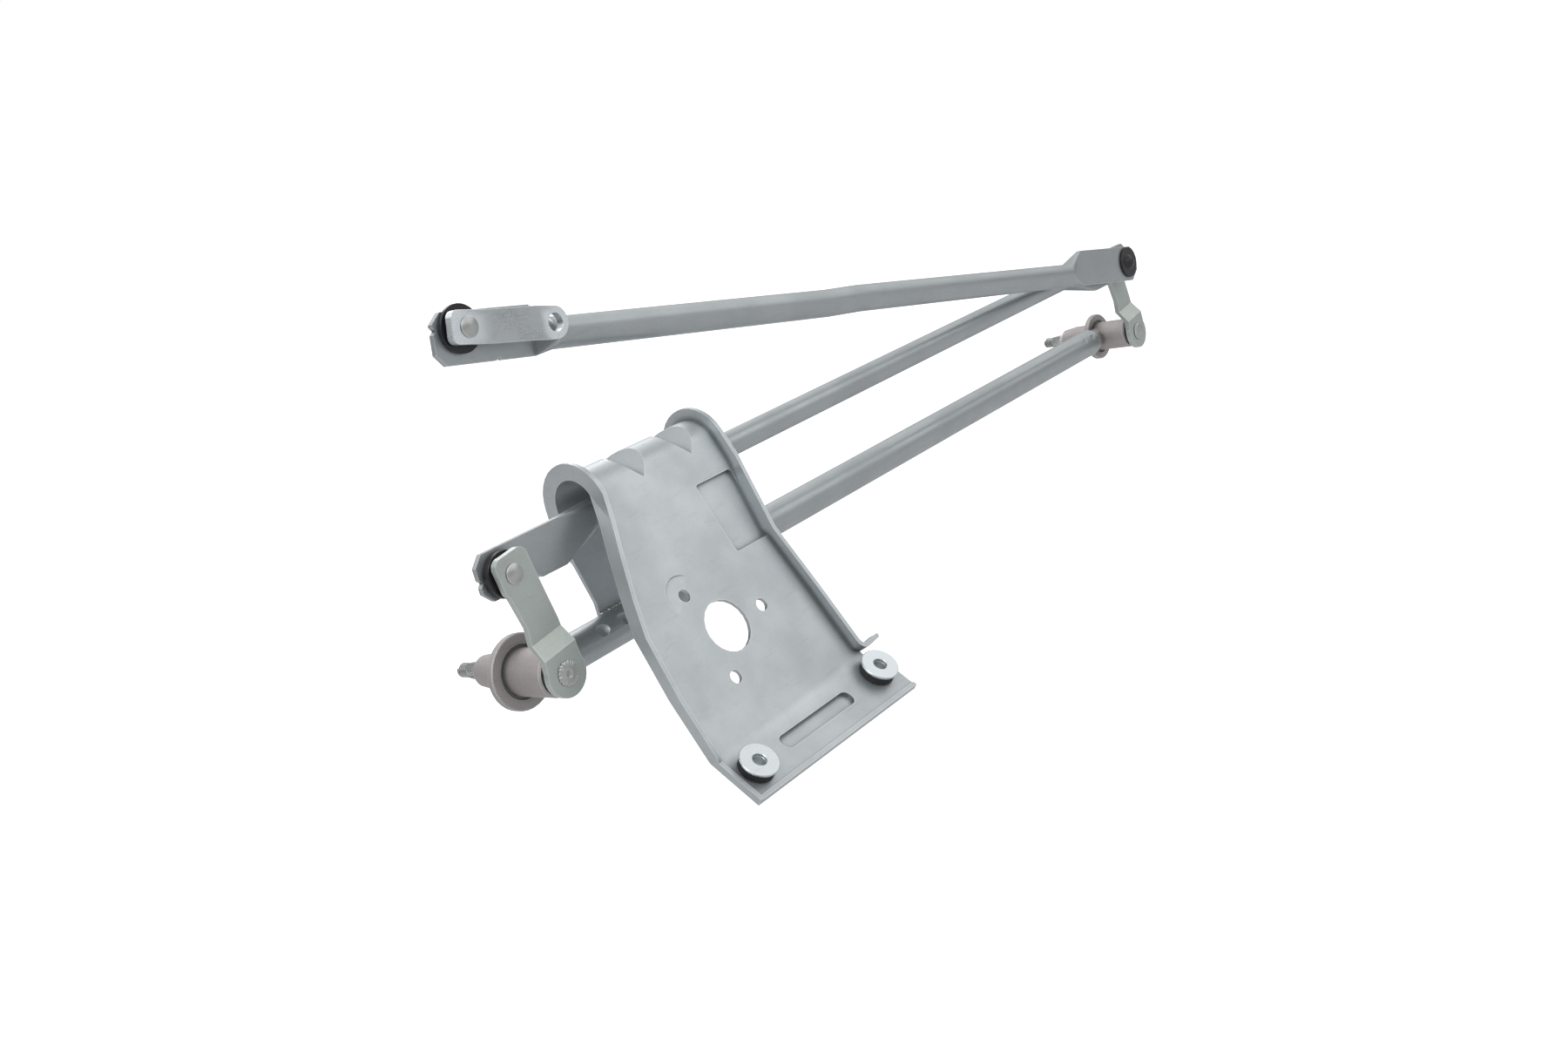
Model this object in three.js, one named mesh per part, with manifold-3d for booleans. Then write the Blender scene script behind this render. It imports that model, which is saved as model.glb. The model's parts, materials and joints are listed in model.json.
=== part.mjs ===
// Windshield wiper linkage with its frame, without the motor.
// Millimetres. X runs along the frame tube from the near pivot to the far pivot, Y runs along the
// wiper spindles towards their threaded ends, and Z is up. Every piece is laid out with the frame
// tube's axis at y = z = 0 and the near spindle at x = 0. It is then moved so that the origin lies on
// the near spindle's axis, in the plane of the collar face that seats against the body panel.
import * as THREE from 'three';
import { mergeVertices } from 'three/addons/utils/BufferGeometryUtils.js';
import { ConvexGeometry } from 'three/addons/geometries/ConvexGeometry.js';
import Module from 'manifold-3d';

const wasm = await Module();
wasm.setup();

// Driving dimensions
const PIVOT_SPACING = 643;
const GAP = 0.3; // left between neighbouring pieces
const PAST = 1; // how far a cutting tool runs past the face it leaves by
const OVERLAP = 0.02; // how far runs of one body enter each other where they are joined
const SIDES = 32;
const FINE_SIDES = 20;

// Frame tube
const TUBE_RADIUS = 10;
const TUBE_WALL = 1.5;
const TUBE_CLEARANCE = 1.5; // from the tube's ends to the housings' collars
const NEAR_RUN_Z = -4; // the near run lies below the far one
const BEND = [125, 205]; // the tube slants from its near run to its far one
const STAKE_ANGLE = 32; // degrees above the bracket's side of the tube
const FAR_STAKES = { radius: 4, depth: 1, from: [6, 18] }; // from the tube's end
const NEAR_STAKES = { radius: 6.5, depth: 1.8, from: [29, 45] };

// Spindles: lengths are measured from the outer face of the riveted head
const SPINDLE_LENGTH = 85;
const SPINDLE_RADIUS = 5.4;
const HEAD_RADIUS = 6.8;
const HEAD_HEIGHT = 1.5;
const THREAD_RADIUS = 3.95;
const THREAD_LENGTH = 8.5;
const KNURL_LENGTH = 7.5;
const KNURL_SMALL_RADIUS = 4.3;
const NEAR_HEAD_Y = -52; // outer faces of the riveted heads
const FAR_HEAD_Y = -35;

// Pivot housings: lengths are measured from the head's outer face, as above
const THRUST_WASHER_THICKNESS = 1.2;
const THRUST_WASHER_RADIUS = 9.5;
const SEAL_THICKNESS = 1.2;
const SEAL_INSET = 0.9; // of the seal's edge from the boss's
const NEAR_BOSS_RADIUS = 12.5;
const FAR_BOSS_RADIUS = 11;
const SPIGOT_FROM_HEAD = 35;
const COLLAR_START = 35.5;
const COLLAR_THICKNESS = 4.5;
const NEAR_COLLAR_RADIUS = 20;
const FAR_COLLAR_RADIUS = 17.5;
const COLLAR_GROOVE_WIDTH = 1.8;
const COLLAR_GROOVE_DEPTH = 1.4;
const NOSE_RADIUS = 9.8;
const NOSE_TAPER = 10;
const NOSE_TIP_RADIUS = 8.3;
const NOSE_TO_KNURL = 4;
const NOSE_CHAMFER = 1;
const BUSH_WALL = 1;
const BUSH_LENGTH = 14;
const CLIP_POCKET_DEPTH = 5;
const CLIP_THICKNESS = 1.1;
const CLIP_GROOVE_DEPTH = 0.6;
const CLIP_RADIUS = 6.7;
const NEAR_SPIGOT = 80;
const FAR_SPIGOT = 50;

// Levers
const LEVER_THICKNESS = 3.5;
const LEVER_JOGGLE = 6.4;
const JOGGLE_START = 12;
const JOGGLE_END = 20;
const LEVER_X = -7.7; // ball centre from the spindle axis, along the tube
const LEVER_Z = 55.6; // ball centre above the spindle axis
const EYE_RADIUS = 12.4;
const LEVER_TOP = 10.6; // from the ball centre to the lever's top edge
const LEVER_CORNER = 5;
// Side edges between the eye and the ball, as [across, share of the lever's length]
const LEVER_LEFT = [[-11, 0.1], [-6.2, 0.52], [-7.7, 0.78], [-9.3, 1]];
const LEVER_RIGHT = [[12, 1], [12.4, 0.78], [13.2, 0.43], [12.6, 0.26], [11.8, 0.07]];

// Ball joints
const BALL_RADIUS = 4.7;
const STUD_RADIUS = 3.2;
const RIVET_RADIUS = 5.4;
const RIVET_HEIGHT = 2;
const STUD_FLANGE = 1;
const JOURNAL_RADIUS = 5;
const SOCKET_FLANGE_RADIUS = 12;
const SOCKET_BORE_RADIUS = 7.5; // hole in the rod's end plate
const SOCKET_CAP_RADIUS = 9.3;
const FAR_CAP_RADIUS = 11.5;
const CAP_RIM = 1.2;
const SOCKET_WALL = 1.5;

// Rods
const ROD_PLATE = 3;
const ROD_WALL = 1.5;
const PLATE_CORNER = 5.5;
const DRIVE_FAR_CORNER = 8;
const NOTCH = 1.8;
const NOTCH_FROM_BALL = 22;
const LINK_PLATE_Y = -33;
const LINK_RADIUS = 7.4;
const LINK_TUBE_RISE = 6.2; // tube axis above the ball line
const LINK_PLATE_LENGTH = 41;
const LINK_NECK_LENGTH = 34;
const LINK_END_REACH = 14;
const DRIVE_PLATE_Y = -39.8;
const DRIVE_RADIUS = 8.15;
const DRIVE_TUBE_DROP = 5.8; // tube axis below the ball line
const DRIVE_LENGTH = 640;
const DRIVE_ANGLE = -10.7; // degrees, from the crank end down to the far lever
const DRIVE_JOG = 1;
const DRIVE_JOG_AT = 0.42;
const DRIVE_JOG_RUN = 30;
const DRIVE_PLATE_LENGTH = 45;
const DRIVE_FAR_PLATE_LENGTH = 67;
const DRIVE_CRANK_REACH = 15; // from the crank's ball to the rod's end
const DRIVE_FAR_REACH = 13.5;
const DRIVE_NECK_LENGTH = 6;
const DRIVE_FAR_NECK_LENGTH = 32;
const DRIVE_PLATE_DROP = 2; // of the crank-end plate below the tube
const DRAIN_RADIUS = 1.5;

// Motor crank
const CRANK_LENGTH = 44.3;
const CRANK_ANGLE = -13.8;
const CRANK_THICKNESS = 4.5;
const CRANK_HALF_WIDTH = 8.2;
const CRANK_JOGGLE = 10.5;
const CRANK_RAMP_START = 14;
const CRANK_RAMP_END = 33;
const CRANK_HOLE_RADIUS = 4.6;
const CRANK_CLEARANCE = 4.2; // from the crank to the drive rod's end plate

// Motor bracket, pressed from one sheet
const SHEET = 2.5;
const PLATE_SLOPE = 0.45; // y gained for each mm of z
const PLATE_Y = -77; // outer face of the plate at the height of the tube
const CREASE_Z = -58;
const FOOT_ANGLE = 40; // degrees below the horizontal
const FOOT_LENGTH = 32;
const FOOT_LIP = 1;
const FOOT_LEFT = 27;
const FOOT_RIGHT = 163;
const HOOK_TOP_Z = 85;
const LEG_END_Z = 2; // the leg is cut back from here to the tube
const LEFT_RIM = { foot: 2, crease: 4.5, plate: 4.5 }; // heights along the bracket's sides
const RIGHT_RIM = { foot: 0, crease: 0, plate: 7 };
const HOOK_RIM = 6.5;
const RIM_END_Z = -50; // where the right-hand rim ends
const FOOT_RIM_TAPER = 4;
const RIM_FADE = [54, 36]; // height at which the hook's rims begin to fall, and are gone
const CURL = { radius: 6, tip: 167, rimOuter: 153 };
const MOTOR_X = 84;
const MOTOR_Z = -10;
const BOSS_HOLE_RADIUS = 14.4;
const BOLT_CIRCLE = 28.2;
const BOLT_HOLE_RADIUS = 3.6;
const BOLT_ANGLES = [0, 120, 240];
const RECESS = { left: 118, right: 147, low: 18, high: 56, depth: 2.2 };
const BOLT_STEP = { angle: 120, radius: 11.5, tilt: 4 }; // shallow step around one bolt hole
const GUSSET_X = [91, 129];
const GUSSET_FRONT_Z = 71;
const GUSSET_RISE = 0.36;
const GUSSET_HALF_ANGLE = 49;
const BEAD = { left: 66, right: 125, halfWidth: 4.5, depth: 2.2, along: 14.5 };

// Foot mountings
const FOOT_MOUNTS = [
  { label: 'left', x: 42, along: 16.5 },
  { label: 'right', x: 151, along: 12.5 },
];
const WASHER_RADIUS = 10.6;
const WASHER_THICKNESS = 1.5;
const RUBBER_TOP = 5.2;
const RUBBER_BELOW = 5.5;
const RUBBER_RADIUS = 9.8;
const RUBBER_WAIST = 7.6;
const SLEEVE_RADIUS = 5;
const SLEEVE_BORE = 3.7;

// Values worked out from the ones above
const rad = THREE.MathUtils.degToRad;
const NOSE_END = SPINDLE_LENGTH - THREAD_LENGTH - KNURL_LENGTH - NOSE_TO_KNURL;
const SEAT_Y = NEAR_HEAD_Y + COLLAR_START + COLLAR_THICKNESS;
const LEVER_LENGTH = Math.hypot(LEVER_X, LEVER_Z);
const LEVER_LEAN = Math.atan2(LEVER_X, LEVER_Z);
const LEVER_BACK = HEAD_HEIGHT + LEVER_THICKNESS;
const WASHER_FROM = LEVER_BACK + GAP;
const SEAL_FROM = WASHER_FROM + THRUST_WASHER_THICKNESS + GAP;
const BOSS_START = SEAL_FROM + SEAL_THICKNESS + GAP;
const BUSH_BORE = SPINDLE_RADIUS + GAP;
const BUSH_RADIUS = BUSH_BORE + BUSH_WALL;
const HOUSING_BORE = BUSH_RADIUS + GAP;
const TUBE_BORE = TUBE_RADIUS - TUBE_WALL;
const SPIGOT_RADIUS = TUBE_BORE - GAP;
const TUBE_NEAR_END = NEAR_COLLAR_RADIUS + TUBE_CLEARANCE;
const TUBE_FAR_END = PIVOT_SPACING - FAR_COLLAR_RADIUS - TUBE_CLEARANCE;
const NEAR_RUN = [NEAR_HEAD_Y + SPIGOT_FROM_HEAD, NEAR_RUN_Z];
const FAR_RUN = [FAR_HEAD_Y + SPIGOT_FROM_HEAD, 0];
const LINK_AXIS_Y = LINK_PLATE_Y - ROD_PLATE / 2 + LINK_RADIUS;
const DRIVE_AXIS_Y = DRIVE_PLATE_Y + ROD_PLATE / 2 - DRIVE_RADIUS;
const PLATE_TILT = Math.atan(PLATE_SLOPE);

// Materials
const finish = (color, metalness, roughness) =>
  new THREE.MeshStandardMaterial({ color, metalness, roughness });
const materials = {
  galvanised: () => finish(0xbec4c6, 0.8, 0.45),
  tube: () => finish(0x9aa2a6, 0.8, 0.4),
  lever: () => finish(0x878c86, 0.75, 0.45),
  zinc: () => finish(0xe2e6e0, 0.9, 0.3),
  casting: () => finish(0x968d8b, 0.6, 0.6),
  steel: () => finish(0xa9adac, 0.9, 0.35),
  bronze: () => finish(0x8c7448, 0.7, 0.5),
  plastic: () => finish(0x17181a, 0, 0.45),
  rubber: () => finish(0x1c1c1d, 0, 0.85),
};

// Solids
function solid(geometry) {
  const bare = geometry.clone();
  bare.deleteAttribute('normal');
  bare.deleteAttribute('uv');
  const merged = mergeVertices(bare, 1e-4);
  const index = merged.index.array;
  const kept = [];
  for (let i = 0; i < index.length; i += 3) {
    const [a, b, c] = [index[i], index[i + 1], index[i + 2]];
    if (a !== b && b !== c && c !== a) kept.push(a, b, c);
  }
  return new wasm.Manifold(new wasm.Mesh({
    numProp: 3,
    vertProperties: new Float32Array(merged.attributes.position.array),
    triVerts: new Uint32Array(kept),
  }));
}

function geometryOf(body) {
  const data = body.getMesh();
  const geometry = new THREE.BufferGeometry();
  geometry.setAttribute('position', new THREE.BufferAttribute(data.vertProperties, 3));
  geometry.setIndex(new THREE.BufferAttribute(data.triVerts, 1));
  geometry.computeVertexNormals();
  return geometry;
}

function join(first, ...rest) {
  return rest.reduce((body, next) => body.add(next), first);
}

function cut(body, ...tools) {
  return tools.reduce((rest, tool) => rest.subtract(tool), body);
}

function box(low, high) {
  const size = high.map((value, axis) => value - low[axis]);
  const middle = high.map((value, axis) => (value + low[axis]) / 2);
  return solid(new THREE.BoxGeometry(...size).translate(...middle));
}

// A ring or a round solid about the Y axis, from [radius, y] points, moved to x, y, z.
function turned(points, at = [0, 0, 0], sides = SIDES) {
  const closed = points[0][0] > 0;
  const outline = closed ? [...points, points[0]] : points;
  let area = 0;
  outline.forEach(([r, y], i) => {
    const [nextR, nextY] = outline[(i + 1) % outline.length];
    area += r * nextY - nextR * y;
  });
  const ordered = area < 0 ? [...outline].reverse() : outline;
  const profile = ordered.map(([r, y]) => new THREE.Vector2(r, y));
  return solid(new THREE.LatheGeometry(profile, sides).translate(...at));
}

function ring(inner, outer, from, to, at, sides) {
  return turned([[inner, from], [outer, from], [outer, to], [inner, to]], at, sides);
}

function rodAlongX(radius, from, to, y, z, sides = SIDES) {
  const geometry = new THREE.CylinderGeometry(radius, radius, to - from, sides);
  return solid(geometry.rotateZ(Math.PI / 2).translate((from + to) / 2, y, z));
}

function rodAlongY(radius, from, to, x, z, sides = FINE_SIDES) {
  const geometry = new THREE.CylinderGeometry(radius, radius, to - from, sides);
  return solid(geometry.translate(x, (from + to) / 2, z));
}

function ball(radius, at, sides = 10) {
  return solid(new THREE.SphereGeometry(radius, sides, sides / 2).translate(...at));
}

// An outline drawn on two axes and extruded along the third, which the basis vectors name.
function extruded(shape, depth, across, up, along, at) {
  const geometry = new THREE.ExtrudeGeometry(shape, { depth, bevelEnabled: false, curveSegments: 8 });
  const basis = new THREE.Matrix4().makeBasis(across, up, along).setPosition(...at);
  return solid(geometry.applyMatrix4(basis));
}

const AXIS_X = new THREE.Vector3(1, 0, 0);
const AXIS_Y = new THREE.Vector3(0, 1, 0);
const AXIS_Z = new THREE.Vector3(0, 0, 1);

const outline = (points) => new THREE.Shape(points.map(([u, v]) => new THREE.Vector2(u, v)));

// [y, z] points extruded along X
const alongX = (points, from, to) =>
  extruded(outline(points), to - from, AXIS_Y, AXIS_Z, AXIS_X, [from, 0, 0]);

// an outline in x and z extruded along Y
const alongY = (shape, from, to, x = 0, z = 0) =>
  extruded(shape, to - from, AXIS_X, AXIS_Z, AXIS_Y.clone().negate(), [x, to, z]);

function roundedRectangle(left, low, right, high, corner) {
  const shape = new THREE.Shape();
  shape.moveTo(left + corner, low);
  shape.lineTo(right - corner, low);
  shape.absarc(right - corner, low + corner, corner, -Math.PI / 2, 0);
  shape.lineTo(right, high - corner);
  shape.absarc(right - corner, high - corner, corner, 0, Math.PI / 2);
  shape.lineTo(left + corner, high);
  shape.absarc(left + corner, high - corner, corner, Math.PI / 2, Math.PI);
  shape.lineTo(left, low + corner);
  shape.absarc(left + corner, low + corner, corner, Math.PI, Math.PI * 1.5);
  return shape;
}

// A path of [y, z] points moved sideways, to the left of its direction when the distance is positive.
// The distance is given as a function of the point.
function offsetPath(path, distanceAt) {
  return path.map(([y, z], i) => {
    const before = path[Math.max(i - 1, 0)];
    const after = path[Math.min(i + 1, path.length - 1)];
    const into = new THREE.Vector2(y - before[0], z - before[1]).normalize();
    const out = new THREE.Vector2(after[0] - y, after[1] - z).normalize();
    const first = i === 0 ? out : into;
    const last = i === path.length - 1 ? into : out;
    const normal = new THREE.Vector2(-first.y - last.y, first.x + last.x).normalize();
    const stretch = distanceAt(y, z) / normal.dot(new THREE.Vector2(-last.y, last.x));
    return [y + normal.x * stretch, z + normal.y * stretch];
  });
}

const arc = (y, z, radius, fromDegrees, toDegrees, steps) =>
  Array.from({ length: steps + 1 }, (_, i) => {
    const angle = rad(fromDegrees + ((toDegrees - fromDegrees) * i) / steps);
    return [y + radius * Math.cos(angle), z + radius * Math.sin(angle)];
  });

const group = new THREE.Group();

function add(name, body, material) {
  const piece = new THREE.Mesh(geometryOf(body.translate([0, -SEAT_Y, 0])), material());
  piece.name = name;
  group.add(piece);
}

// Convex run of round section between two places whose sections face along X
function slanted(radius, from, to) {
  const points = [];
  for (const [x, y, z] of [from, to]) {
    for (let i = 0; i < SIDES; i += 1) {
      const angle = (2 * Math.PI * i) / SIDES;
      points.push(new THREE.Vector3(x, y + radius * Math.sin(angle), z + radius * Math.cos(angle)));
    }
  }
  return solid(new ConvexGeometry(points));
}

// Everything within a radius of the frame tube's axis
function alongTube(radius, past = 0) {
  const [bendFrom, bendTo] = BEND;
  return join(
    rodAlongX(radius, TUBE_NEAR_END - past, bendFrom + OVERLAP, ...NEAR_RUN),
    slanted(radius, [bendFrom, ...NEAR_RUN], [bendTo, ...FAR_RUN]),
    rodAlongX(radius, bendTo - OVERLAP, TUBE_FAR_END + past, ...FAR_RUN),
  );
}

// Balls that press the tube into its spigots, grown by a margin
function stakeBalls(margin) {
  const place = ({ radius, depth }, x, [y, z]) => {
    const reach = TUBE_RADIUS - depth + radius;
    const angle = rad(STAKE_ANGLE);
    return ball(radius + margin, [x, y - reach * Math.cos(angle), z + reach * Math.sin(angle)], FINE_SIDES);
  };
  return [
    ...NEAR_STAKES.from.map((from) => place(NEAR_STAKES, TUBE_NEAR_END + from, NEAR_RUN)),
    ...FAR_STAKES.from.map((from) => place(FAR_STAKES, TUBE_FAR_END - from, FAR_RUN)),
  ];
}

// Frame tube, open at both ends and staked onto the housings' spigots
function frameTube() {
  const within = alongTube(TUBE_RADIUS - TUBE_WALL / 2);
  const tube = alongTube(TUBE_RADIUS).subtract(alongTube(TUBE_BORE, PAST));
  const dented = stakeBalls(TUBE_WALL).map((body) => body.intersect(within));
  return cut(join(tube, ...dented), ...stakeBalls(0));
}

// Spindle, from its riveted head to its threaded end
function spindle(x, headY) {
  const knurlEnd = SPINDLE_LENGTH - THREAD_LENGTH;
  const clipFrom = NOSE_END - CLIP_POCKET_DEPTH + GAP;
  const grooveRadius = SPINDLE_RADIUS - CLIP_GROOVE_DEPTH;
  return turned([
    [0, 0],
    [HEAD_RADIUS * 0.75, HEAD_HEIGHT * 0.2],
    [HEAD_RADIUS, HEAD_HEIGHT * 0.8],
    [HEAD_RADIUS, HEAD_HEIGHT - GAP],
    [SPINDLE_RADIUS, HEAD_HEIGHT - GAP],
    [SPINDLE_RADIUS, clipFrom - GAP / 2],
    [grooveRadius, clipFrom - GAP / 2],
    [grooveRadius, clipFrom + CLIP_THICKNESS + GAP / 2],
    [SPINDLE_RADIUS, clipFrom + CLIP_THICKNESS + GAP / 2],
    [SPINDLE_RADIUS, knurlEnd - KNURL_LENGTH],
    [KNURL_SMALL_RADIUS, knurlEnd],
    [THREAD_RADIUS, knurlEnd],
    [THREAD_RADIUS, SPINDLE_LENGTH - NOSE_CHAMFER],
    [THREAD_RADIUS - NOSE_CHAMFER, SPINDLE_LENGTH],
    [0, SPINDLE_LENGTH],
  ], [x, headY, 0], FINE_SIDES);
}

// Die-cast housing: boss, collar and nose about the spindle, and a spigot for the tube
function pivotHousing({ x, headY, collarRadius, bossRadius, spigotEnd, run }) {
  const collarEnd = COLLAR_START + COLLAR_THICKNESS;
  const grooveRadius = bossRadius + COLLAR_GROOVE_WIDTH;
  const body = turned([
    [HOUSING_BORE, BOSS_START],
    [bossRadius - NOSE_CHAMFER, BOSS_START],
    [bossRadius, BOSS_START + NOSE_CHAMFER],
    [bossRadius, COLLAR_START + COLLAR_GROOVE_DEPTH],
    [grooveRadius, COLLAR_START + COLLAR_GROOVE_DEPTH],
    [grooveRadius, COLLAR_START],
    [collarRadius - NOSE_CHAMFER / 2, COLLAR_START],
    [collarRadius, COLLAR_START + NOSE_CHAMFER / 2],
    [collarRadius, collarEnd - NOSE_CHAMFER],
    [collarRadius - NOSE_CHAMFER, collarEnd],
    [NOSE_RADIUS, collarEnd],
    [NOSE_RADIUS, NOSE_END - NOSE_TAPER],
    [NOSE_TIP_RADIUS, NOSE_END],
    [HOUSING_BORE, NOSE_END],
  ], [x, headY, 0]);
  const spigot = rodAlongX(SPIGOT_RADIUS, Math.min(x, spigotEnd), Math.max(x, spigotEnd), ...run);
  const bore = rodAlongY(HOUSING_BORE, headY, headY + NOSE_END + PAST, x, 0, SIDES);
  return cut(join(body, spigot), bore, ...stakeBalls(TUBE_WALL + GAP));
}

function addPivot(label, pivot) {
  const at = [pivot.x, pivot.headY, 0];
  const bushEnd = NOSE_END - CLIP_POCKET_DEPTH - GAP;
  const outerBushFrom = BOSS_START + GAP;
  const clipFrom = NOSE_END - CLIP_POCKET_DEPTH + GAP;
  const clipBore = SPINDLE_RADIUS - CLIP_GROOVE_DEPTH + GAP;
  add(`${label}_pivot_housing`, pivotHousing(pivot), materials.casting);
  add(`${label}_lever_side_bush`,
    ring(BUSH_BORE, BUSH_RADIUS, outerBushFrom, outerBushFrom + BUSH_LENGTH, at, FINE_SIDES),
    materials.bronze);
  add(`${label}_nose_side_bush`,
    ring(BUSH_BORE, BUSH_RADIUS, bushEnd - BUSH_LENGTH, bushEnd, at, FINE_SIDES), materials.bronze);
  add(`${label}_thrust_washer`,
    ring(BUSH_BORE, THRUST_WASHER_RADIUS, WASHER_FROM, WASHER_FROM + THRUST_WASHER_THICKNESS, at, FINE_SIDES),
    materials.steel);
  add(`${label}_seal_ring`,
    ring(BUSH_BORE, pivot.bossRadius - SEAL_INSET, SEAL_FROM, SEAL_FROM + SEAL_THICKNESS, at, FINE_SIDES),
    materials.rubber);
  add(`${label}_circlip`,
    ring(clipBore, CLIP_RADIUS, clipFrom, clipFrom + CLIP_THICKNESS, at, FINE_SIDES), materials.steel);
}

// Lever, pressed from flat bar with one joggle, drawn upright from the spindle to the ball
function leverPlate() {
  const high = LEVER_LENGTH + LEVER_TOP;
  const low = -EYE_RADIUS - PAST;
  const side = [
    [0, low], [0, JOGGLE_START], [LEVER_JOGGLE, JOGGLE_END], [LEVER_JOGGLE, high + PAST],
    [LEVER_JOGGLE + LEVER_THICKNESS, high + PAST], [LEVER_JOGGLE + LEVER_THICKNESS, JOGGLE_END],
    [LEVER_THICKNESS, JOGGLE_START], [LEVER_THICKNESS, low],
  ];
  const sheet = alongX(side.map(([y, z]) => [y + HEAD_HEIGHT, z]), -2 * EYE_RADIUS, 2 * EYE_RADIUS);
  const depth = HEAD_HEIGHT + LEVER_JOGGLE + LEVER_THICKNESS + PAST;
  const [[topRight]] = LEVER_RIGHT;
  const [topLeft] = LEVER_LEFT[LEVER_LEFT.length - 1];
  const top = roundedRectangle(topLeft, LEVER_LENGTH - LEVER_TOP, topRight, high, LEVER_CORNER);
  const edges = [...LEVER_LEFT, ...LEVER_RIGHT].map(([x, share]) => [x, share * LEVER_LENGTH]);
  const blank = join(
    rodAlongY(EYE_RADIUS, 0, depth, 0, 0, SIDES),
    alongY(top, 0, depth),
    alongY(outline(edges), 0, depth),
  );
  return cut(
    sheet.intersect(blank),
    rodAlongY(SPINDLE_RADIUS + GAP, -PAST, depth, 0, 0),
    rodAlongY(STUD_RADIUS + GAP, -PAST, depth, 0, LEVER_LENGTH),
  );
}

// [radius, y] points of a ball from its neck to its far pole, the neck towards -y
function ballProfile(centre, steps = 8) {
  const neck = Math.asin(STUD_RADIUS / BALL_RADIUS);
  return Array.from({ length: steps + 1 }, (_, i) => {
    const angle = neck + ((Math.PI - neck) * i) / steps;
    const radius = i === steps ? 0 : BALL_RADIUS * Math.sin(angle);
    return [radius, centre - BALL_RADIUS * Math.cos(angle)];
  });
}

// Stud through a plate whose outer and inner faces are given, with a ball beyond the inner face
function ballStud(outerFace, innerFace, ballY) {
  return [
    [0, outerFace - RIVET_HEIGHT],
    [RIVET_RADIUS * 0.7, outerFace - RIVET_HEIGHT * 0.75],
    [RIVET_RADIUS, outerFace - GAP],
    [STUD_RADIUS, outerFace - GAP],
    [STUD_RADIUS, innerFace + GAP],
    [RIVET_RADIUS, innerFace + GAP],
    [RIVET_RADIUS, innerFace + GAP + STUD_FLANGE],
    [STUD_RADIUS, innerFace + GAP + STUD_FLANGE],
    ...ballProfile(ballY),
  ];
}

// Plastic socket about a ball: flange, stem through the rod's plate and domed cap.
// It opens towards -y, and flangeFrom is where its flange begins.
function socket(ballY, flangeFrom, plateFrom, capRadius, steps = 7) {
  const cavity = BALL_RADIUS + GAP;
  const mouth = STUD_RADIUS + GAP;
  const start = Math.asin(mouth / cavity);
  const dome = cavity + SOCKET_WALL;
  const plateTo = plateFrom + ROD_PLATE;
  const rimAngle = Math.acos((plateTo + GAP + CAP_RIM - ballY) / dome);
  const inside = Array.from({ length: steps + 1 }, (_, i) => {
    const angle = Math.PI - ((Math.PI - start) * i) / steps;
    return [i === 0 ? 0 : cavity * Math.sin(angle), ballY - cavity * Math.cos(angle)];
  });
  const outside = Array.from({ length: steps + 1 }, (_, i) => {
    const angle = rimAngle * (1 - i / steps);
    const radius = i === steps ? 0 : dome * Math.sin(angle);
    return [radius, ballY + dome * Math.cos(angle)];
  });
  return [
    ...inside,
    [mouth, flangeFrom],
    [SOCKET_FLANGE_RADIUS, flangeFrom],
    [SOCKET_FLANGE_RADIUS, plateFrom - GAP],
    [SOCKET_BORE_RADIUS - GAP, plateFrom - GAP],
    [SOCKET_BORE_RADIUS - GAP, plateTo + GAP],
    [capRadius, plateTo + GAP],
    [capRadius, plateTo + GAP + CAP_RIM],
    ...outside,
  ];
}

const flipped = (points) => points.map(([r, y]) => [r, -y]);

// Stud of the far lever: rivet head behind the lever, a plain journal for the link rod and a ball for
// the drive rod. It is worked out pointing to +y and turned over.
function doubleStud(outerFace) {
  const inner = -outerFace;
  const journalEnd = -LINK_PLATE_Y + ROD_PLATE / 2;
  return flipped([
    [0, inner - LEVER_THICKNESS - RIVET_HEIGHT],
    [RIVET_RADIUS * 0.7, inner - LEVER_THICKNESS - RIVET_HEIGHT * 0.75],
    [RIVET_RADIUS, inner - LEVER_THICKNESS - GAP],
    [STUD_RADIUS, inner - LEVER_THICKNESS - GAP],
    [STUD_RADIUS, inner + GAP],
    [RIVET_RADIUS, inner + GAP],
    [RIVET_RADIUS, inner + GAP + STUD_FLANGE],
    [JOURNAL_RADIUS, inner + GAP + STUD_FLANGE],
    [JOURNAL_RADIUS, journalEnd - GAP],
    [STUD_RADIUS, journalEnd],
    ...ballProfile(-DRIVE_PLATE_Y),
  ]);
}

// Plain liner of the link rod on the journal, with its flange towards the lever
function liner(flangeFrom) {
  const plateBack = LINK_PLATE_Y + ROD_PLATE / 2;
  const end = LINK_PLATE_Y - ROD_PLATE / 2;
  return [
    [JOURNAL_RADIUS + GAP, flangeFrom],
    [SOCKET_FLANGE_RADIUS, flangeFrom],
    [SOCKET_FLANGE_RADIUS, plateBack + GAP],
    [SOCKET_BORE_RADIUS - GAP, plateBack + GAP],
    [SOCKET_BORE_RADIUS - GAP, end],
    [JOURNAL_RADIUS + GAP, end],
  ];
}

// Flattened end of a rod: a convex run from the round tube to the flat end plate
function neck(tubeX, plateX, radius, axisY, axisZ, plateY, low, high) {
  const points = [];
  for (let i = 0; i < SIDES; i += 1) {
    const angle = (2 * Math.PI * i) / SIDES;
    points.push(new THREE.Vector3(tubeX, axisY + radius * Math.sin(angle), axisZ + radius * Math.cos(angle)));
  }
  for (const y of [plateY - ROD_PLATE / 2, plateY + ROD_PLATE / 2]) {
    points.push(new THREE.Vector3(plateX, y, low), new THREE.Vector3(plateX, y, high));
  }
  return solid(new ConvexGeometry(points));
}

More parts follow.
